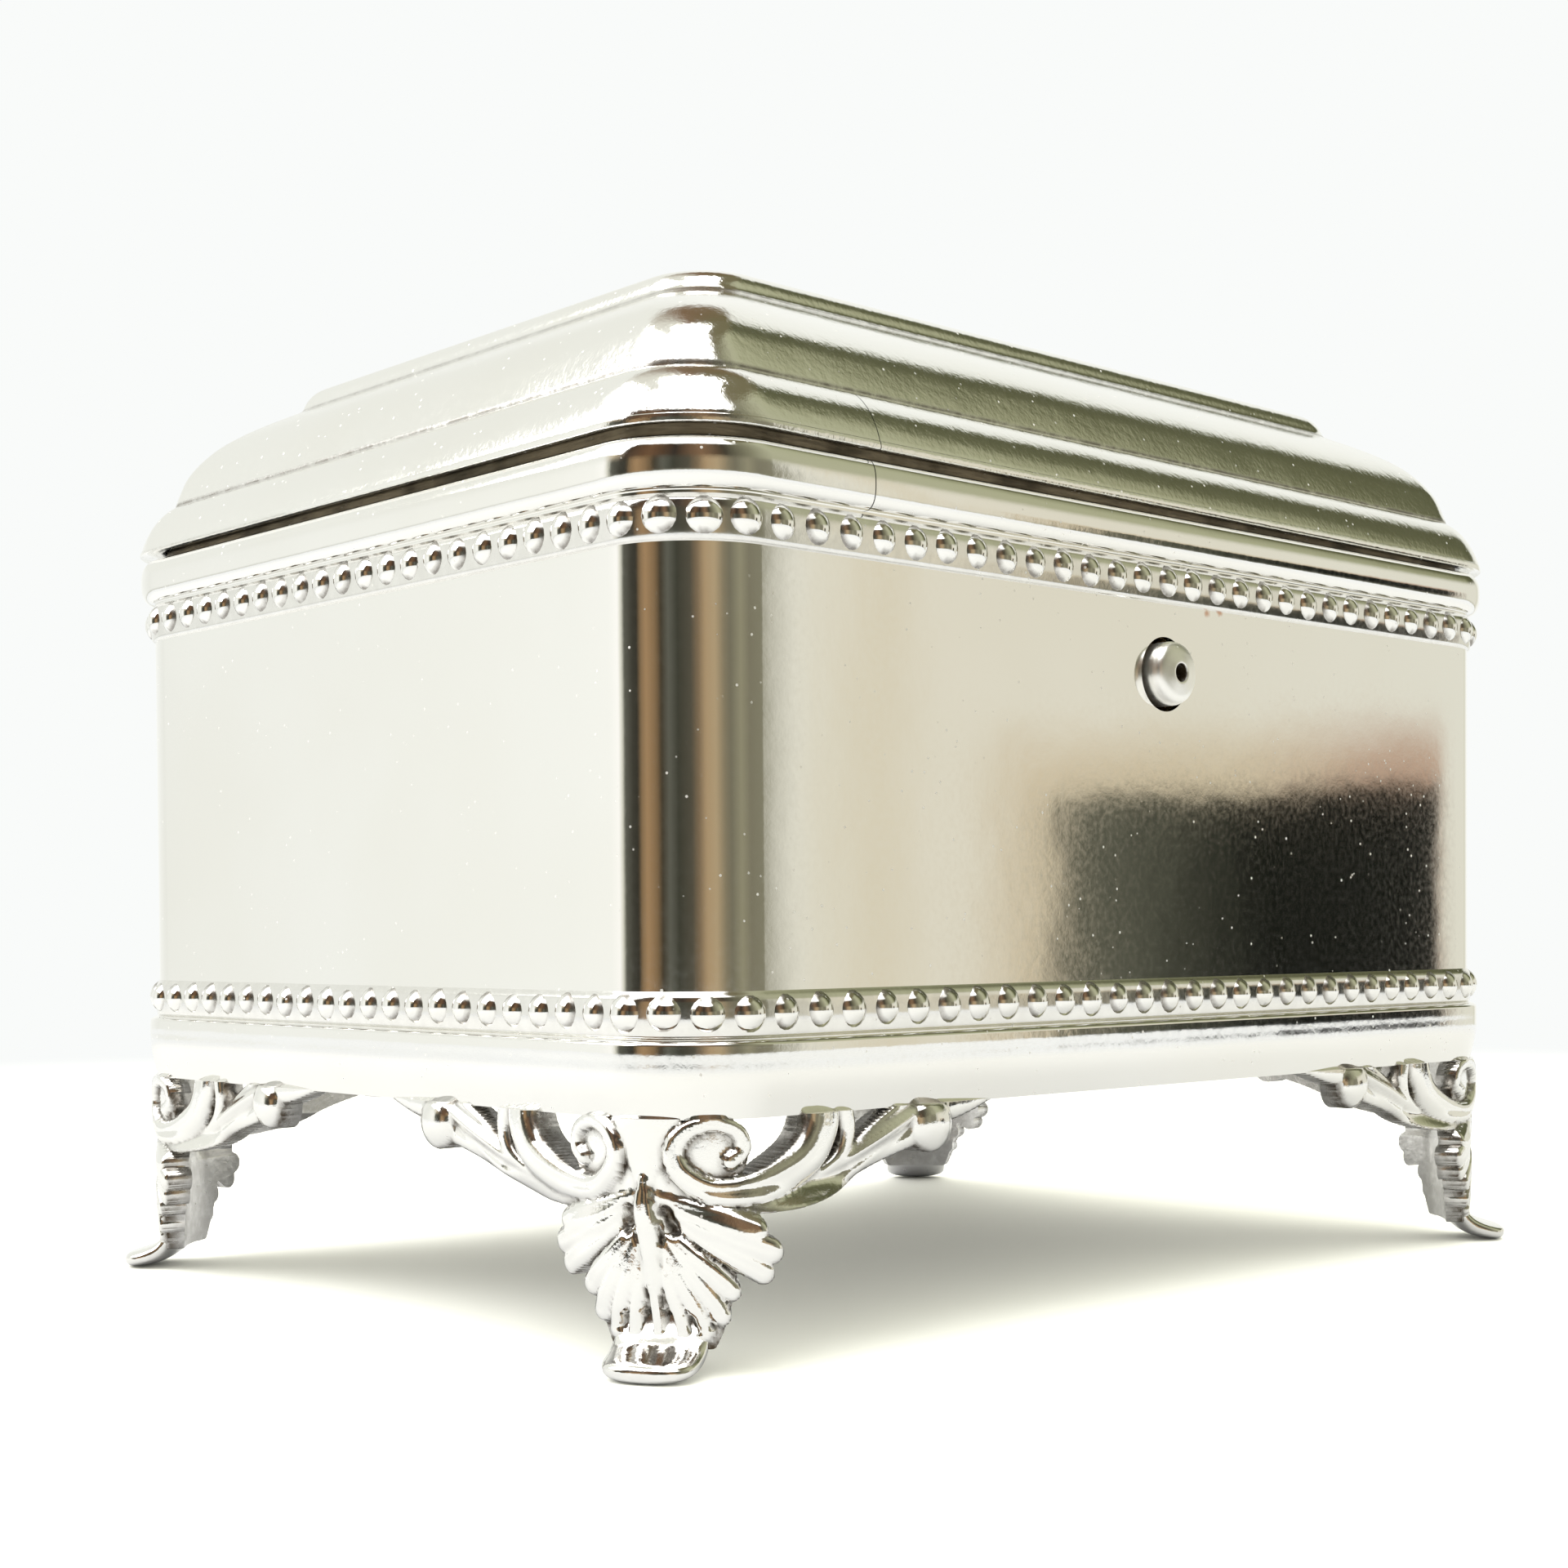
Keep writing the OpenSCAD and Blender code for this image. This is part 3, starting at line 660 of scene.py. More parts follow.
def relief(points):
    """How far each (distance, height) point is inside the metal, and how high the relief stands there."""
    x, z = np.abs(points[:, 0]), points[:, 1]
    inside = np.full(len(x), -9.0)
    height = np.full(len(x), -9.0)
    for stroke, dome, groove, twist in SCROLL_STROKES + LEAF_STROKES:
        line = np.array(curve_through(stroke, 7 if len(stroke) > 2 else 1))
        best = np.full(len(x), -9.0)
        across = np.ones(len(x))
        width = np.ones(len(x))
        lift = np.zeros(len(x))
        along = np.zeros(len(x))
        run = 0.0
        for a, b in zip(line, line[1:]):
            d = b[:2] - a[:2]
            length = float(np.hypot(*d))
            t = np.clip(((x - a[0]) * d[0] + (z - a[1]) * d[1]) / max(length**2, 1e-9), 0, 1)
            dist = np.hypot(x - a[0] - d[0] * t, z - a[1] - d[1] * t)
            r = a[2] + (b[2] - a[2]) * t
            depth = r - dist
            better = depth > best
            best = np.where(better, depth, best)
            across = np.where(better, dist / r, across)
            width = np.where(better, r, width)
            lift = np.where(better, a[3] + (b[3] - a[3]) * t, lift)
            along = np.where(better, run + length * t, along)
            run += length
        u = np.clip(across, 0, 1)
        h = lift + dome * width * np.sqrt(1 - u**2) - groove * np.exp(-((u / 0.28) ** 2))
        if twist:
            h = h + twist * (np.cos(2 * math.pi * (x * 0.35 - z * 0.9) / ROPE_PITCH) - 0.6) * (1 - u**2)
        h = np.where(best > 0, h, -9)
        inside = np.maximum(inside, best)
        top, low = np.maximum(height, h), np.minimum(height, h)
        height = top + JOIN * np.log1p(np.exp(np.clip((low - top) / JOIN, -30, 0)))
    for a, b, r, depth in LEAF_HOLLOWS:
        a, b = np.array(a), np.array(b)
        d = b - a
        t = np.clip(((x - a[0]) * d[0] + (z - a[1]) * d[1]) / (d @ d), 0, 1)
        u = np.hypot(x - a[0] - d[0] * t, z - a[1] - d[1] * t) / r
        height = height - depth * np.exp(-(u**4))
    return inside, height


def leaf_shift(z, shift):
    """The leaf hangs nearer to the corner's middle at its toe than at its top."""
    return shift * np.interp(z, [4, 16], [0.92, 1.3])


def round_corner(s, z, off, sign, shift):
    """Place on the foot: the scrolls wrap round the corner, the leaf below bends more gently."""
    sx, sy = sign
    cx, cy = HALF_X - CORNER, HALF_Y - CORNER
    axis = math.pi / 4 - leaf_shift(z, shift) / CORNER
    inset = LEAF_BEND - CORNER
    turn = axis - s / LEAF_BEND
    leaf_x = cx - inset * np.cos(axis) + (LEAF_BEND + off) * np.cos(turn)
    leaf_y = cy - inset * np.sin(axis) + (LEAF_BEND + off) * np.sin(turn)
    s = s + shift * (1 + 0.3 * np.exp(-((s / 14) ** 2)))
    half = CORNER * math.pi / 4
    angle = math.pi / 4 - np.clip(s, -half, half) / CORNER
    x = cx + (CORNER + off) * np.cos(angle) - np.maximum(-s - half, 0)
    y = cy + (CORNER + off) * np.sin(angle) - np.maximum(s - half, 0)
    k = np.clip((16.6 - z) / 4.2, 0, 1)
    k = k * k * (3 - 2 * k)
    x, y = x + (leaf_x - x) * k, y + (leaf_y - y) * k
    return np.stack([sx * x, sy * y, z], 1)


def blurred(field, mask, times):
    """Evens out a grid of values, counting only the points inside the mask."""
    field = np.where(mask, field, 0.0)
    weight = mask.astype(float)
    for _ in range(times):
        for axis in (0, 1):
            field = (field + np.roll(field, 1, axis) + np.roll(field, -1, axis)) / 3
            weight = (weight + np.roll(weight, 1, axis) + np.roll(weight, -1, axis)) / 3
    return np.where(mask, field / np.maximum(weight, 1e-6), 0.0)


def make_foot(name, node, sign, shift):
    """One cast foot: a pierced sheet in relief, bent round the corner, with its back and its toe.
    The shift turns the leaf round the corner, towards the side wall."""
    top = BASE + 0.1
    nx, nz = round(2 * REACH / GRID), round((top - LEAF_LOW) / GRID)
    bm = bmesh.new()
    bmesh.ops.create_grid(bm, x_segments=nx, y_segments=nz, size=0.5)
    bm.verts.ensure_lookup_table()
    co = np.array([v.co[:2] for v in bm.verts])
    flat = np.stack([co[:, 0] * 2 * REACH, LEAF_LOW + (co[:, 1] + 0.5) * (top - LEAF_LOW)], 1)
    inside, height = relief(flat)
    # cavities: where the relief lies below its surroundings
    col = np.rint((co[:, 0] + 0.5) * nx).astype(int)
    row = np.rint((co[:, 1] + 0.5) * nz).astype(int)
    h = np.zeros((nx + 1, nz + 1))
    mask = np.zeros((nx + 1, nz + 1), bool)
    h[col, row] = height
    mask[col, row] = inside > 0
    cavity = (blurred(h, mask, 9) - h)[col, row]
    layer = bm.verts.layers.float.new("tarnish_and_shade")
    for v, (s, z), c in zip(bm.verts, flat, cavity):
        v.co = (s, z, 0)
        v[layer] = float(np.clip((c - 0.07) / 0.3, 0, 1))
    keep = dict(zip(bm.verts, inside))
    outside = [f for f in bm.faces if sum(keep[v] for v in f.verts) / 4 < 0]
    bmesh.ops.delete(bm, geom=outside, context="FACES")
    # border vertices move on to the outline, then are evened along it
    border = [v for v in bm.verts if v.is_boundary and v.co.y < BASE]
    for _ in range(2):
        p = np.array([v.co[:2] for v in border])
        f0 = relief(p)[0]
        e = 0.05
        gx = (relief(p + [e, 0])[0] - f0) / e
        gz = (relief(p + [0, e])[0] - f0) / e
        g2 = np.maximum(gx**2 + gz**2, 0.3)
        step = np.clip(-f0 / g2, -0.2, 0.2)
        for v, sx, sz in zip(border, step * gx, step * gz):
            v.co.x += sx
            v.co.y = min(v.co.y + sz, top)
        bmesh.ops.smooth_vert(
            bm, verts=border, factor=0.5, use_axis_x=True, use_axis_y=True, use_axis_z=False
        )
    front = bm.verts[:]
    p = np.array([v.co[:2] for v in front])
    inside, height = relief(p)
    height = np.where(height < -2, 0.0, height)
    level = foot_level(p[:, 1])
    for v, d in zip(front, level + height):
        v.co.z = d
    grown = bmesh.ops.extrude_face_region(bm, geom=bm.faces[:], use_keep_orig=True)["geom"]
    back = [g for g in grown if isinstance(g, bmesh.types.BMVert)]
    behind = foot_back(np.array([v.co.y for v in back]))
    for v, d in zip(back, behind):
        v.co.z = d
        # painted shade: the foot's back, which lies in shade under the box, is darkened
        v[layer] = 0.35
    p = np.array([v.co[:] for v in bm.verts])
    place = round_corner(p[:, 0], p[:, 1], p[:, 2], sign, shift)
    for v, q in zip(bm.verts, place):
        v.co = q
    add_toe(bm, sign, shift, layer)
    bmesh.ops.recalc_face_normals(bm, faces=bm.faces)
    finish_piece(bm, name, CAST_SILVER, "case", [node], sharp=math.radians(62))


# toe: offset outwards, height, half width and half thickness of each station
TOE = [
    (-1.6, 5.2, 3.7, 0.45),
    (-1.5, 4.3, 4.2, 0.75),
    (-1.2, 3.4, 4.35, 1.0),
    (-0.65, 2.55, 4.4, 1.12),
    (0.2, 1.85, 4.4, 1.15),
    (1.3, 1.4, 4.38, 1.1),
    (2.4, 1.12, 4.2, 1.02),
    (3.2, 0.98, 3.8, 0.95),
    (3.8, 0.9, 3.15, 0.85),
    (4.2, 0.82, 2.3, 0.65),
    (4.42, 0.78, 1.3, 0.42),
]


def add_toe(bm, sign, shift, layer):
    """Smooth pad that curls outwards from under the leaf and stands flat on the floor."""
    angle = math.pi / 4 - float(leaf_shift(3, shift)) / CORNER
    out = Vector((math.cos(angle), math.sin(angle), 0))
    side = Vector((-math.sin(angle), math.cos(angle), 0))
    up = Vector((0, 0, 1))
    centre = Vector((HALF_X - CORNER, HALF_Y - CORNER, 0))
    path = np.array(curve_through(TOE, 3))
    loops = []
    for i, (n, z, w, t) in enumerate(path):
        ahead = path[min(i + 1, len(path) - 1)] - path[max(i - 1, 0)]
        along = (out * ahead[0] + up * ahead[1]).normalized()
        thick = along.cross(side).normalized()
        verts = []
        for a, b in superellipse(w, t, 2.6, 32):
            p = centre + out * (CORNER + n) + up * z + side * a + thick * b
            p.z = max(p.z, 0.0)
            v = bm.verts.new((sign[0] * p.x, sign[1] * p.y, p.z))
            # painted shade: the toe's upper part, where it runs under the leaf, is darkened
            v[layer] = 0.3 if z > 3.6 else 0.0
            verts.append(v)
        loops.append([bm.edges.new((verts[j - 1], verts[j])) for j in range(len(verts))])
        if i in (0, len(path) - 1):
            cap = bm.faces.new(verts)
            if i:
                bmesh.ops.inset_region(bm, faces=[cap], thickness=0.3, depth=0.08)
    bridge(bm, loops)


# ---------- lid ----------


def make_skirt():
    """Convex strip round the lid's edge with a butt seam near the front corner."""
    bm = bmesh.new()
    face = [(1.42, 0.5), (1.3, 0.95), (0.9, 2.0), (0.2, 3.3), (-0.75, 4.5), (-1.7, 5.3), (-2.45, 5.7)]
    back = [(-2.45, 4.6), (-1.2, 3.4), (-0.2, 1.8), (0.3, 0.6), (-1.4, 0.6), (-1.4, 0.05), (1.35, 0)]
    lip = [(1.55, 0.08), (1.6, 0.26), (1.52, 0.42)]
    outer = curve_through([(o, LID + z) for o, z in face], 5)
    lip, inner = ([(o, LID + z) for o, z in part] for part in (lip, back))
    sweep(bm, lip + outer + inner, slit=SKIRT_SEAM)
    notch_skirt(bm)
    warped(bm)
    finish_piece(bm, "skirt", LID_SILVER, "lid", ["lid_skirt"])


def notch_skirt(bm):
    """Takes the hinge's room out of the skirt's foot at the back."""
    half, front, top = HINGE_HALF + HINGE_GAP, HALF_Y - 1.4, LID + 1.6
    deep, tall = 4, 2.6
    cutter = bmesh.new()
    bmesh.ops.create_cube(cutter, size=1.0)
    bmesh.ops.scale(cutter, vec=(2 * half, deep, tall), verts=cutter.verts)
    bmesh.ops.translate(cutter, vec=(0, front + deep / 2, top - tall / 2), verts=cutter.verts)
    meshes = []
    for name, shape in (("skirt_body", bm), ("skirt_cut", cutter)):
        mesh = bpy.data.meshes.new(name)
        shape.to_mesh(mesh)
        meshes.append(mesh)
    cutter.free()
    body, tool = (bpy.data.objects.new(m.name, m) for m in meshes)
    for o in (body, tool):
        bpy.context.scene.collection.objects.link(o)
    cut = body.modifiers.new("cut", "BOOLEAN")
    cut.operation, cut.solver, cut.object = "DIFFERENCE", "EXACT", tool
    bpy.context.view_layer.update()
    done = bpy.data.meshes.new_from_object(body.evaluated_get(bpy.context.evaluated_depsgraph_get()))
    bm.clear()
    bm.from_mesh(done)
    for o in (body, tool):
        bpy.data.objects.remove(o)


# outside of the stamped lid, as (offset outwards, height over the lid's edge)
DOME_LOWER = [
    (-2.4, 0.5), (-2.4, 3.0), (-2.4, 5.2), (-2.42, 5.9), (-2.6, 6.5), (-3.2, 8.0), (-3.95, 9.6),
    (-5.0, 11.1), (-6.4, 12.55), (-8.2, 13.85), (-10.2, 15.0), (-12.2, 16.0), (-12.95, 16.4),
]
DOME_STEP = [
    (-12.95, 16.4), (-13.3, 16.9), (-13.6, 17.7), (-14.1, 18.45), (-14.9, 18.95), (-16.2, 19.25),
    (-19, 19.35), (-30, 19.4), (-43, 19.42),
]
# its inside, a sheet's thickness away, and the offset past which the loops keep a tighter corner
DOME_INNER = [
    (-2.4 - SHEET, 0.5), (-2.4 - SHEET, 6.0), (-3.6, 7.6), (-4.6, 9.8), (-5.6, 11.4), (-7.0, 12.8),
    (-9.6, 14.2), (-12.6, 15.6), (-13.9, 16.6), (-14.4, 17.6), (-15.2, 18.2), (-16.4, 18.45),
    (-30, 18.6), (-43, 18.62),
]
FLAT_TOP = -30
# height over the lid's edge, half width and darkness of the lines where polish never reaches
DOME_CREASES = [(5.9, 0.35, 0.85), (16.55, 0.25, 0.6)]
# the bent lid: rise of its front left corner, the height over which that fades, and the skirt's
# lip, which hangs lower towards the front
LID_LIFT = 0.5
LIFT_FADE = 19.4
LIP_HANG = 0.32


def warped(bm):
    """Bends the lid: lowers the skirt's lip towards the front, and lifts the lower edge a little at
    the front left corner, fading with height."""
    for v in bm.verts:
        wx = (HALF_X - v.co.x) / (2 * HALF_X)
        wy = (HALF_Y - v.co.y) / (2 * HALF_Y)
        if v.co.z < LID + 0.3 and outside_wall(v.co.x, v.co.y) > 1.2:
            v.co.z -= LIP_HANG * min(max(1.6 * wy - 0.3, 0), 1)
        high = min(max((v.co.z - LID) / LIFT_FADE, 0), 1)
        v.co.z += LID_LIFT * max(wx, 0) * max(wy, 0) * (1 - high)


def make_dome():
    """The stamped lid: upright edge, cushion, fine crease, small step and a faintly crowned top."""
    bm = bmesh.new()
    outer = curve_through(DOME_LOWER, 4)[:-1] + curve_through(DOME_STEP, 4)
    loops = [box_loop(bm, o, LID + z, 6 if o > FLAT_TOP else 4) for o, z in outer]
    inner = [box_loop(bm, o, LID + z, 5.2 if o > FLAT_TOP else 4) for o, z in DOME_INNER]
    bridge(bm, loops)
    bridge(bm, inner)
    bridge(bm, [loops[0], inner[0]])
    for loop in (loops[-1], inner[-1]):
        bmesh.ops.edgeloop_fill(bm, edges=loop)
    bmesh.ops.recalc_face_normals(bm, faces=bm.faces)
    layer = bm.verts.layers.float.new("tarnish_and_shade")
    for v in bm.verts:
        for crease, half, depth in DOME_CREASES:
            gap = abs(v.co.z - LID - crease)
            v[layer] = max(v[layer], depth * max(0.0, 1 - gap / half))
    warped(bm)
    finish_piece(bm, "dome", LID_SILVER, "lid", ["lid_dome"], sharp=math.radians(50))


# ---------- button ----------


def make_button():
    """Domed button with a flat face, a rolled edge and a small blind hole."""
    bm = bmesh.new()
    f, r = BUTTON_FACE, BUTTON_R
    edge = [
        (r, f + 3.6), (r, f + 1.7), (r - 0.05, f + 1.15), (r - 0.28, f + 0.62), (r - 0.75, f + 0.32),
        (r - 1.5, f + 0.14), (1.1, f),
    ]
    hole = [(0.98, f + 0.06), (0.93, f + 0.2), (0.93, f + 2.0), (0.3, f + 2.35), (0.02, f + 2.38)]
    section = [(0.02, BUTTON_BACK), (r, BUTTON_BACK)] + curve_through(edge, 5) + hole
    verts = [bm.verts.new((a, y, 0)) for a, y in section]
    edges = [bm.edges.new(p) for p in zip(verts, verts[1:])]
    bmesh.ops.spin(
        bm, geom=verts + edges, cent=(0, 0, 0), axis=(0, 1, 0), angle=2 * math.pi, steps=64, use_merge=True
    )
    bmesh.ops.remove_doubles(bm, verts=bm.verts, dist=0.06)
    bmesh.ops.recalc_face_normals(bm, faces=bm.faces)
    layer = bm.verts.layers.float.new("tarnish_and_shade")
    for v in bm.verts:
        v[layer] = 1.0 if math.hypot(v.co.x, v.co.z) < 0.96 and v.co.y > f + 0.1 else 0.0
    bmesh.ops.translate(bm, vec=(0, 0, LOCK_Z), verts=bm.verts)
    finish_piece(bm, "button", BUTTON_SILVER, "button", ["lock_button"], sharp=math.radians(40))


# ---------- velvet padding ----------


# how far the velvet's points lie apart, how far one may move as the pad fills, and the steps of that
PAD_CELL = 2.6
PAD_MOVE = 1.4
FILL_STEPS = 14


def cushion(name, width, height, crown, back, notch=None, radius=0.0):
    """Two sheets of velvet sewn together round the edge, drawn flat in x and y with the crown upwards.
    A notch (half width, height above which it is open) leaves room for the lock."""
    bm = bmesh.new()
    nx, ny = 2 * round(width / PAD_CELL / 2), round(height / PAD_CELL)
    bmesh.ops.create_grid(bm, x_segments=nx, y_segments=ny, size=0.5)
    for v in bm.verts:
        v.co.x *= width
        v.co.y *= height
    if notch:
        half, low = notch
        near_x = round(half / (width / nx)) * width / nx
        near_y = (round((low + height / 2) / (height / ny))) * height / ny - height / 2
        for v in bm.verts:
            if abs(abs(v.co.x) - near_x) < 0.01:
                v.co.x = math.copysign(half, v.co.x)
            if abs(v.co.y - near_y) < 0.01:
                v.co.y = low
        middles = [(f, f.calc_center_median()) for f in bm.faces]
        gone = [f for f, middle in middles if abs(middle.x) < half and middle.y > low]
        bmesh.ops.delete(bm, geom=gone, context="FACES")
    for v in bm.verts:
        dx, dy = abs(v.co.x) - width / 2 + radius, abs(v.co.y) - height / 2 + radius
        if radius and dx > 0 and dy > 0:
            a, b = dx / radius, dy / radius
            v.co.x = math.copysign(width / 2 - radius + dx * math.sqrt(1 - b * b / 2), v.co.x)
            v.co.y = math.copysign(height / 2 - radius + dy * math.sqrt(1 - a * a / 2), v.co.y)
    rim = np.array([v.co[:2] for v in bm.verts if v.is_boundary])
    flat = np.array([v.co[:2] for v in bm.verts])
    inward = np.sqrt(((flat[:, None] - rim[None]) ** 2).sum(2)).min(1)
    rise = 1 - np.exp(-inward / 1.7)
    under = bmesh.ops.duplicate(bm, geom=bm.verts[:] + bm.edges[:] + bm.faces[:])["geom"]
    under = [g for g in under if isinstance(g, bmesh.types.BMVert)]
    over = bm.verts[: len(flat)]
    for v, w, h in zip(over, under, rise):
        v.co.z, w.co.z = crown * 0.8 * h, -back * 0.8 * h
    bmesh.ops.remove_doubles(bm, verts=bm.verts, dist=0.001)
    bmesh.ops.recalc_face_normals(bm, faces=bm.faces)
    bmesh.ops.scale(bm, vec=(MM, MM, MM), verts=bm.verts)
    mesh = bpy.data.meshes.new(name)
    bm.to_mesh(mesh)
    bm.free()
    pad = bpy.data.objects.new(name, mesh)
    bpy.context.scene.collection.objects.link(pad)
    seam = pad.vertex_groups.new(name="seam")
    seam.add([v.index for v in mesh.vertices if abs(v.co.z) < 1e-7], 1.0, "REPLACE")
    pad["crown"], pad["back"] = crown, back
    return pad


def puff_up(pads):
    """Fills the sewn pads: roomy velvet pressed out from inside, held at the seam, kept within its slot."""
    for pad in pads:
        cloth = pad.modifiers.new("fill", "CLOTH")
        settings = cloth.settings
        settings.quality = 6
        settings.use_pressure = True
        settings.uniform_pressure_force = 4.0
        settings.effector_weights.gravity = 0.0
        settings.shrink_min = -0.06
        settings.vertex_group_mass = "seam"
        cloth.collision_settings.use_collision = False
    scene = bpy.context.scene
    for frame_number in range(1, FILL_STEPS + 1):
        scene.frame_set(frame_number)
    depsgraph = bpy.context.evaluated_depsgraph_get()
    for pad in pads:
        filled = [v.co.copy() for v in pad.evaluated_get(depsgraph).data.vertices]
        crown, back = pad["crown"] * MM, pad["back"] * MM
        for v, new in zip(pad.data.vertices, filled):
            move = new - v.co
            if move.length > PAD_MOVE * MM:
                move *= PAD_MOVE * MM / move.length
            spot = v.co + move
            spot.z = min(max(spot.z, -back), crown)
            v.co = spot
        pad.modifiers.clear()
    scene.frame_set(1)


def make_padding():
    """Padded velvet on the floor, on the four walls and inside the lid."""
    floor_lo, floor_hi = (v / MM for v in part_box("floor_pad"))
    wall_lo, wall_hi = (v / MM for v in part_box("wall_lining"))
    lid_lo, lid_hi = (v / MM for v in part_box("lid_lining"))
    up = Vector((0, 0, 1))
    tall = wall_hi.z - wall_lo.z
    mid_z = (wall_hi.z + wall_lo.z) / 2

    def flat_place(z, turned):
        turn = Matrix.Rotation(math.pi, 4, "X") if turned else Matrix.Identity(4)
        return Matrix.Translation((0, 0, z * MM)) @ turn

    def wall_place(inwards, x, y):
        across = up.cross(inwards)
        turn = Matrix((across, up, inwards)).transposed().to_4x4()
        return Matrix.Translation((x * MM, y * MM, mid_z * MM)) @ turn

    # room left round the pads, how far the wall pads' seams lie in from the wall, crown and back
    ease, off_wall = 0.3, 0.36
    thin = (0.8, 0.3)
    long_side, short_side = 2 * (HALF_X - CORNER) - 0.4, 2 * (HALF_Y - CORNER) - 0.4
    notch = (10.6, LOCK_Z - 9.1 - mid_z)
    wide, deep = floor_hi.x - floor_lo.x - ease, floor_hi.y - floor_lo.y - ease
    lid_wide, lid_deep = lid_hi.x - lid_lo.x - ease, lid_hi.y - lid_lo.y - ease
    floor_sheet = cushion("floor_sheet", wide, deep, 2.0, 0.9, radius=8)
    wall_sheets = [
        (cushion("left_sheet", short_side, tall, *thin), (1, 0, 0), wall_lo.x + off_wall, 0),
        (cushion("right_sheet", short_side, tall, *thin), (-1, 0, 0), wall_hi.x - off_wall, 0),
        (cushion("back_sheet", long_side, tall, *thin), (0, -1, 0), 0, wall_hi.y - off_wall),
        (cushion("front_sheet", long_side, tall, *thin, notch), (0, 1, 0), 0, wall_lo.y + off_wall),
    ]
    lid_sheet = cushion("lid_sheet", lid_wide, lid_deep, 1.4, 0.5, radius=4)
    on_walls = [(pad, wall_place(Vector(way), x, y)) for pad, way, x, y in wall_sheets]
    groups = [
        ("floor_padding", "floor_pad", "case", 0.6, [(floor_sheet, flat_place(floor_lo.z + 0.95, False))]),
        ("wall_padding", "wall_lining", "case", 0.4, on_walls),
        ("lid_padding", "lid_lining", "lid", 0.5, [(lid_sheet, flat_place(lid_hi.z - 0.55, True))]),
    ]
    puff_up([pad for group in groups for pad, place in group[4]])
    for name, node, body, fill, parts in groups:
        bm = bmesh.new()
        for pad, place in parts:
            pad.data.transform(place)
            bm.from_mesh(pad.data)
            bpy.data.objects.remove(pad)
        bmesh.ops.scale(bm, vec=(1 / MM,) * 3, verts=bm.verts)
        piece = finish_piece(bm, name, VELVET, body, [node], sharp=math.radians(80))
        smooth = piece.modifiers.new("smooth", "SUBSURF")
        smooth.levels = smooth.render_levels = 1


# ---------- stage ----------


# the plain surroundings, and between which distances from the middle the floor fades into them
PLAIN_TONE = (0.93, 0.945, 0.935, 1)
PLAIN_LEVEL = 1.02
FADE_FROM, FADE_TO = 0.16, 0.5
FLOOR_RADIUS = 0.62


def make_floor():
    """Pale floor that fades into the plain surroundings, and is painted darker where the metal mirrors it, as
    shade.
    """
    bm = bmesh.new()
    bmesh.ops.create_circle(bm, cap_ends=True, segments=96, radius=FLOOR_RADIUS)
    mesh = bpy.data.meshes.new("floor")
    bm.to_mesh(mesh)
    bm.free()
    floor = bpy.data.objects.new("floor", mesh)
    bpy.context.scene.collection.objects.link(floor)
    material, n, shader, where = new_material("pale_floor")
    soft = n.remap(n.noise(where, 9, 3), 0.3, 0.7)
    pale = n.mix(soft, (0.86, 0.86, 0.84), (0.83, 0.83, 0.81))
    # painted shade: seen in the metal, the floor takes a darker tone, standing for its shade near the box
    mirrored = n.add("ShaderNodeLightPath").outputs["Is Glossy Ray"]
    n.join(n.mix(mirrored, pale, (0.37, 0.37, 0.395)), shader.inputs["Base Color"])
    shader.inputs["Roughness"].default_value = 0.75
    far = n.add("ShaderNodeVectorMath", operation="LENGTH")
    n.join(where, far.inputs[0])
    glow = n.add("ShaderNodeEmission")
    glow.inputs["Color"].default_value = PLAIN_TONE
    glow.inputs["Strength"].default_value = PLAIN_LEVEL
    fade = n.add("ShaderNodeMixShader")
    n.join(n.remap(far.outputs["Value"], FADE_FROM, FADE_TO), fade.inputs[0])
    n.join(shader.outputs[0], fade.inputs[1])
    n.join(glow.outputs[0], fade.inputs[2])
    n.join(fade.outputs[0], n.tree.nodes["Material Output"].inputs[0])
    floor.data.materials.append(material)
    return floor


def srgb(r, g, b):
    """A tone given in display values of 0 to 255, as light."""
    shares = (c / 255 for c in (r, g, b))
    return tuple(c / 12.92 if c < 0.04 else ((c + 0.055) / 1.055) ** 2.4 for c in shares)


# The room round the box as the polished metal shows it: a tone for each compass angle in degrees,
# in three rings, near the horizon, above it and overhead.
ROOM_LOW = [
    (0, (206, 204, 184)), (14, (244, 244, 238)), (60, (250, 251, 247)), (110, (232, 233, 227)),
    (128, (243, 244, 238)), (142, (252, 251, 246)), (147, (213, 212, 198)), (151, (90, 90, 80)),
    (162, (58, 56, 48)), (168, (50, 48, 40)), (173, (132, 108, 78)), (179, (158, 128, 92)),
    (189, (128, 104, 74)), (196, (62, 55, 42)), (204, (90, 90, 80)), (214, (58, 58, 48)),
    (228, (78, 74, 62)), (236, (122, 104, 80)), (244, (168, 144, 110)), (254, (172, 152, 119)),
    (264, (128, 119, 96)), (271, (112, 108, 90)), (283, (140, 136, 112)), (294, (120, 116, 97)),
    (309.5, (126, 123, 103)), (311.5, (222, 220, 207)), (313.4, (222, 219, 204)), (314.5, (204, 192, 162)),
    (315.6, (219, 214, 197)), (330, (220, 218, 204)),
]
ROOM_MID = [
    (0, (150, 152, 124)), (3, (226, 227, 218)), (13, (240, 241, 234)), (45, (246, 247, 242)),
    (70, (233, 234, 227)), (140, (234, 235, 228)), (152, (190, 176, 150)), (166, (60, 46, 34)),
    (190, (104, 76, 52)), (215, (44, 36, 30)), (240, (124, 96, 70)), (262, (60, 54, 42)),
    (290, (130, 128, 104)), (315, (172, 172, 144)), (327, (168, 169, 138)), (336, (140, 141, 110)),
    (342, (90, 91, 64)), (356, (80, 81, 56)),
]
ROOM_HIGH = [
    (0, (104, 96, 66)), (60, (120, 96, 72)), (100, (214, 212, 200)), (150, (226, 226, 216)),
    (200, (120, 100, 76)), (300, (110, 104, 76)),
]
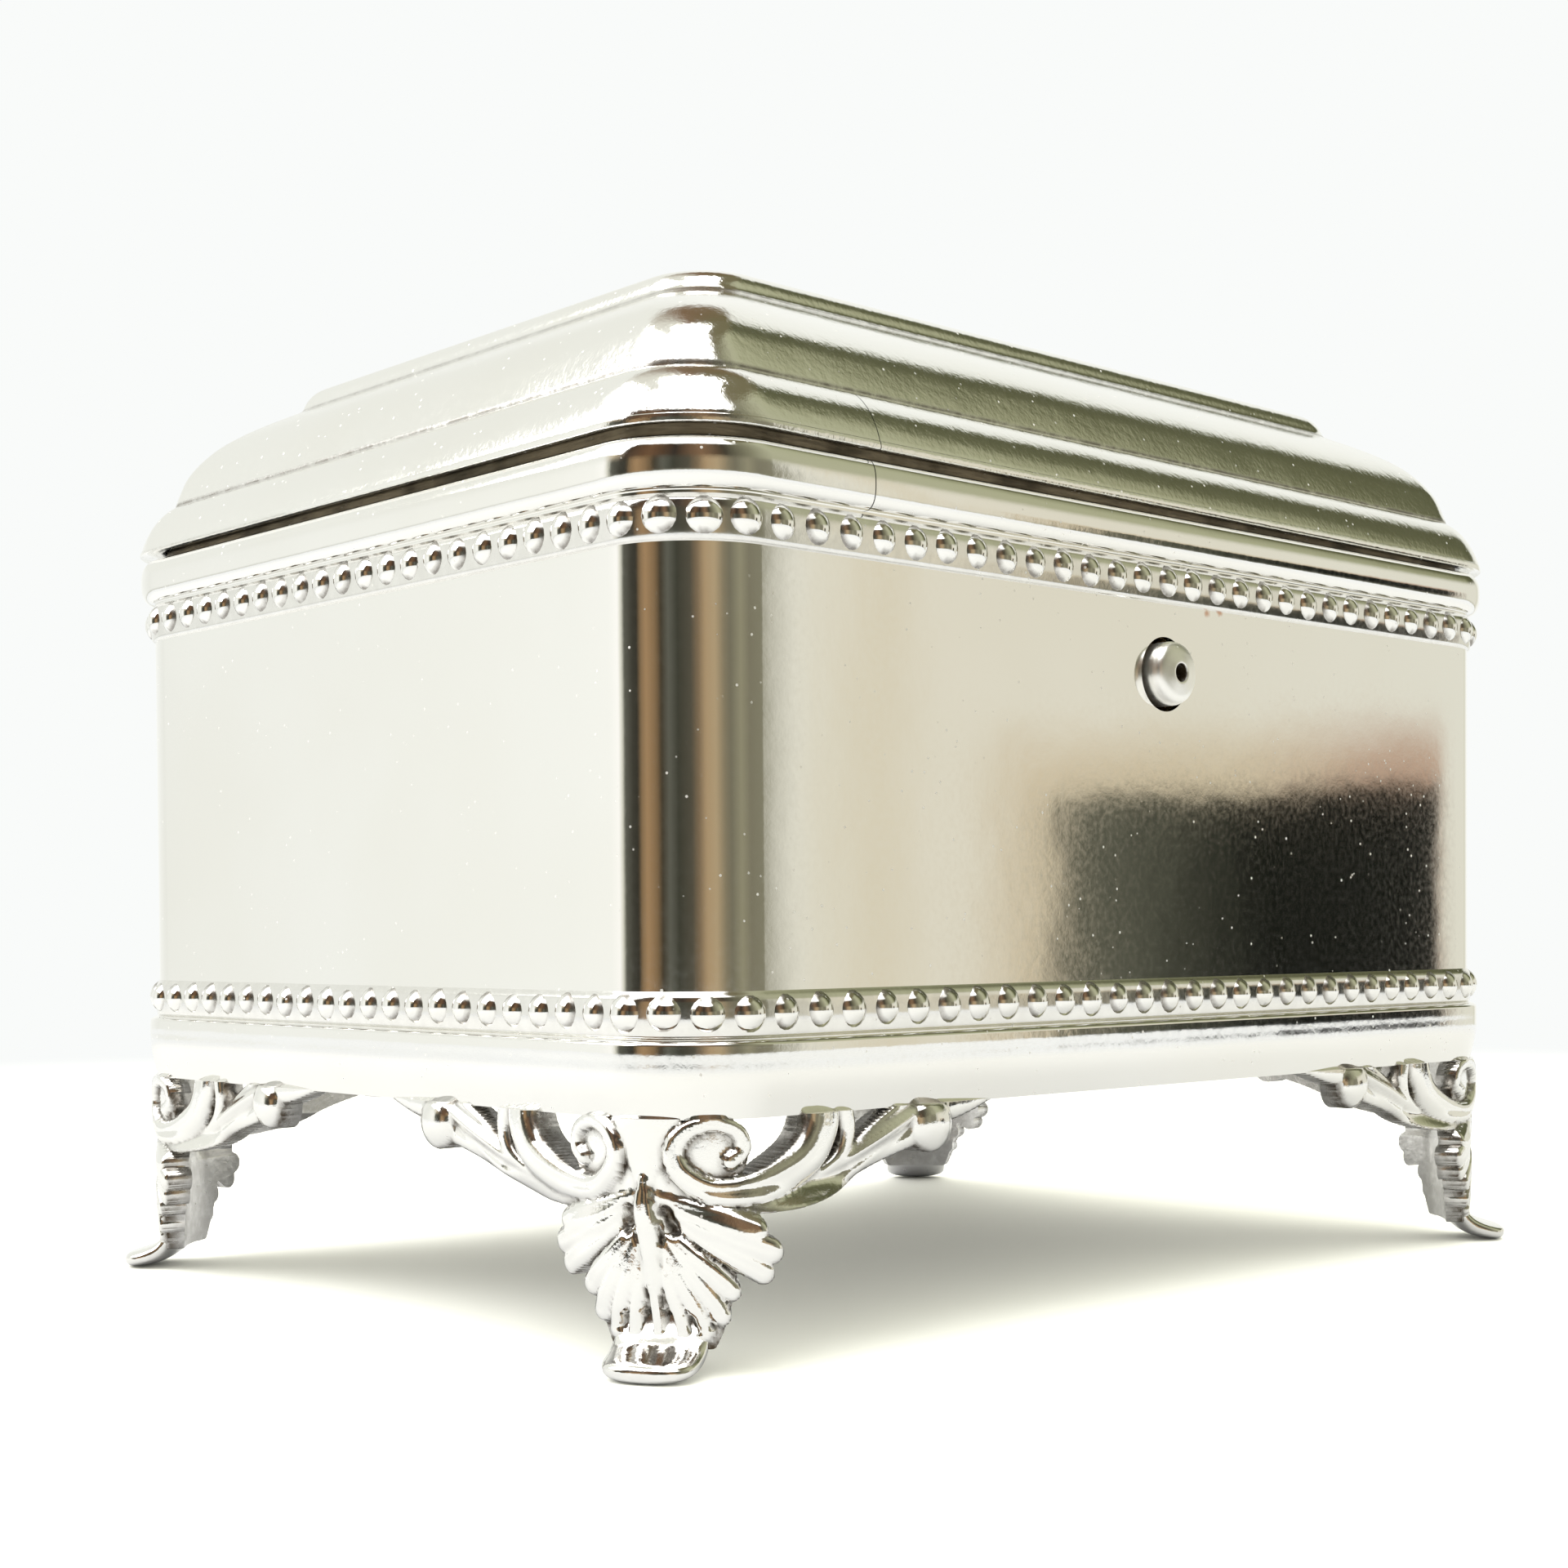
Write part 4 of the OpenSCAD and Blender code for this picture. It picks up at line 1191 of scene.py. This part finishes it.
# Dark screen low on the right: its tones from left to right and where they change, its edges round
# the compass and its height, then the same for the warm border above it. All angles in degrees.
SCREEN_TONES = (srgb(78, 79, 66), srgb(15, 17, 13))
SCREEN_CHANGE = (320, 325)
SCREEN_LEFT, SCREEN_RIGHT, SCREEN_TOP = (319.3, 319.7), (329.7, 329.3), (3.5, 3.25)
WARM_TONES = (srgb(202, 187, 158), srgb(178, 146, 122))
WARM_CHANGE = (324, 327.5)
WARM_LEFT, WARM_RIGHT, WARM_TOP = (317.2, 318.8), (330.4, 329.2), (5.4, 4.0)
WARM_SHARE = 0.9
# heights at which one ring gives way to the next, and the tone below the horizon
LOW_TO_MID, MID_TO_HIGH, BELOW = (11, 19), (50, 58), (-3, -12)
GROUND_TONE = srgb(150, 150, 130)
# bright ceiling light over and behind the camera: its lower, upper, left and right edges
LAMP_BOTTOM, LAMP_TOP, LAMP_LEFT, LAMP_RIGHT = (42, 50), (80, 74), (160, 176), (285, 270)
LAMP_LIGHT = (2.2, 2.2, 2.15)


def ring(n, turn, stops):
    """A colour ramp round the compass, from a list of (angle, tone)."""
    node = n.add("ShaderNodeValToRGB")
    elements = node.color_ramp.elements
    for i, (angle, tone) in enumerate(stops):
        stop = elements[i] if i < 2 else elements.new(angle / 360)
        stop.position = angle / 360
        stop.color = (*srgb(*tone), 1)
    n.join(turn, node.inputs["Fac"])
    return node.outputs["Color"]


def patch(n, *edges, kind="SMOOTHSTEP"):
    """1 inside a patch of the room and 0 outside it; each edge is (angle or height, from, to)."""
    share = None
    for value, outer, inner in edges:
        edge = n.remap(value, outer, inner, kind=kind)
        share = edge if share is None else n.math("MULTIPLY", share, edge)
    return share


def room_tone(n):
    """The tone that the metal mirrors in each direction."""
    split = n.add("ShaderNodeSeparateXYZ")
    n.join(n.add("ShaderNodeTexCoord").outputs["Generated"], split.inputs[0])
    x, y, z = split.outputs
    turn = n.math("DIVIDE", n.math("ARCTAN2", y, x), 2 * math.pi)
    turn = n.math("FRACT", n.math("ADD", turn, 1.0))
    angle = n.math("MULTIPLY", turn, 360)
    rise = n.math("MULTIPLY", n.math("ARCSINE", z), 180 / math.pi)
    low = ring(n, turn, ROOM_LOW)
    border = patch(n, (angle, *WARM_LEFT), (rise, *WARM_TOP), (angle, *WARM_RIGHT), kind="LINEAR")
    warm = n.mix(n.remap(angle, *WARM_CHANGE), *WARM_TONES)
    low = n.mix(n.math("MULTIPLY", border, WARM_SHARE), low, warm)
    screen = patch(n, (angle, *SCREEN_LEFT), (angle, *SCREEN_RIGHT), (rise, *SCREEN_TOP), kind="LINEAR")
    low = n.mix(screen, low, n.mix(n.remap(angle, *SCREEN_CHANGE), *SCREEN_TONES))
    tone = n.mix(n.remap(rise, *LOW_TO_MID), low, ring(n, turn, ROOM_MID))
    tone = n.mix(n.remap(rise, *MID_TO_HIGH), tone, ring(n, turn, ROOM_HIGH))
    lamp = patch(n, (rise, *LAMP_BOTTOM), (rise, *LAMP_TOP), (angle, *LAMP_LEFT), (angle, *LAMP_RIGHT))
    tone = n.mix(lamp, tone, LAMP_LIGHT)
    return n.mix(n.remap(rise, *BELOW), tone, GROUND_TONE)


def background(n, colour, strength):
    """A background shader; its colour is a tone or another node's output."""
    node = n.add("ShaderNodeBackground")
    if isinstance(colour, tuple):
        node.inputs["Color"].default_value = colour
    else:
        n.join(colour, node.inputs["Color"])
    node.inputs["Strength"].default_value = strength
    return node.outputs[0]


def make_room():
    """Soft light all round for matt things, the mirrored tones for metal, plain for the camera."""
    world = bpy.data.worlds.new("room")
    bpy.context.scene.world = world
    world.use_nodes = True
    n = Nodes(world.node_tree)
    fill = background(n, (0.96, 0.96, 0.83, 1), 2.3)
    mirrored = background(n, room_tone(n), 1.05)
    plain = background(n, PLAIN_TONE, PLAIN_LEVEL)
    light = n.add("ShaderNodeLightPath")
    shown = fill
    for ray, choice in (("Is Glossy Ray", mirrored), ("Is Camera Ray", plain)):
        switch = n.add("ShaderNodeMixShader")
        n.join(light.outputs[ray], switch.inputs[0])
        n.join(shown, switch.inputs[1])
        n.join(choice, switch.inputs[2])
        shown = switch.outputs[0]
    n.join(shown, n.add("ShaderNodeOutputWorld").inputs[0])


def make_lights():
    """Two broad lamps, whose soft shadows fall under the box."""
    for name, place, size, power in [
        ("window_light", (-0.75, 0.55, 0.9), 0.9, 10),
        ("ceiling_light", (-0.2, -0.25, 1.15), 0.7, 5),
    ]:
        data = bpy.data.lights.new(name, "AREA")
        data.shape, data.size, data.energy = "SQUARE", size, power
        lamp = bpy.data.objects.new(name, data)
        lamp.location = place
        lamp.rotation_mode = "QUATERNION"
        lamp.rotation_quaternion = (-Vector(place)).to_track_quat("-Z", "Y")
        bpy.context.scene.collection.objects.link(lamp)


def make_camera():
    """Low three-quarter view from the front left corner."""
    yaw, pitch, roll = math.radians(42.58), math.radians(-1.293), math.radians(-0.397)
    ahead = Vector((math.sin(yaw) * math.cos(pitch), math.cos(yaw) * math.cos(pitch), math.sin(pitch)))
    right = Vector((math.cos(yaw), -math.sin(yaw), 0))
    up = right.cross(ahead)
    right, up = right * math.cos(roll) + up * math.sin(roll), up * math.cos(roll) - right * math.sin(roll)
    data = bpy.data.cameras.new("camera")
    data.sensor_width, data.lens = 36, 52.07
    data.shift_y = 0.1252
    data.clip_start = 0.01
    cam = bpy.data.objects.new("camera", data)
    turn = Matrix((right, up, -ahead)).transposed().to_4x4()
    cam.matrix_world = Matrix.Translation((-0.18859, -0.19659, 0.03869)) @ turn
    bpy.context.scene.collection.objects.link(cam)
    bpy.context.scene.camera = cam


# ---------- assembly ----------

make_wall()
make_base()
make_rim()
make_beading("lower_beads", "lower_beading", LOWER_BEADS_Z, seed=3)
make_beading("upper_beads", "upper_beading", UPPER_BEADS_Z, seed=8)
for foot_name, foot_node, foot_sign, foot_shift in [
    ("front_left_foot", "foot_front_left", (-1, -1), 3.0),
    ("front_right_foot", "foot_front_right", (1, -1), 0.0),
    ("rear_left_foot", "foot_rear_left", (-1, 1), 0.0),
    ("rear_right_foot", "foot_rear_right", (1, 1), 0.0),
]:
    make_foot(foot_name, foot_node, foot_sign, foot_shift)
make_skirt()
make_dome()
make_button()
make_padding()

# CAD pieces that stay as they are, and their finishes
KEPT = {
    "bottom_plate": INNER_SILVER,
    "hinge_case_leaf": MOULDING_SILVER,
    "hinge_pin": MOULDING_SILVER,
    "lock_case": LOCK_BRASS,
    "lock_bridge": LOCK_BRASS,
    "lock_cover": LOCK_BRASS,
    "lock_screws": LOCK_STEEL,
    "lock_spring": LOCK_STEEL,
    "floor_pad": VELVET,
    "wall_lining": VELVET,
    "lid_bezel": PAINTED_SHADE_SILVER,
    "hinge_lid_leaf": MOULDING_SILVER,
    "lid_staple": LOCK_BRASS,
    "staple_rivets": LOCK_STEEL,
    "lid_lining": VELVET,
    "lock_plunger": LOCK_STEEL,
    "plunger_clip": LOCK_STEEL,
}
for node_name, finish in KEPT.items():
    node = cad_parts[node_name]
    node.data.materials.clear()
    node.data.materials.append(finish)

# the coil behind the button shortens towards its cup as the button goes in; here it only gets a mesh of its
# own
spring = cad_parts["lock_spring"]
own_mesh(spring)

make_floor()
make_room()
make_lights()
make_camera()
bpy.context.scene.view_settings.view_transform = "Standard"
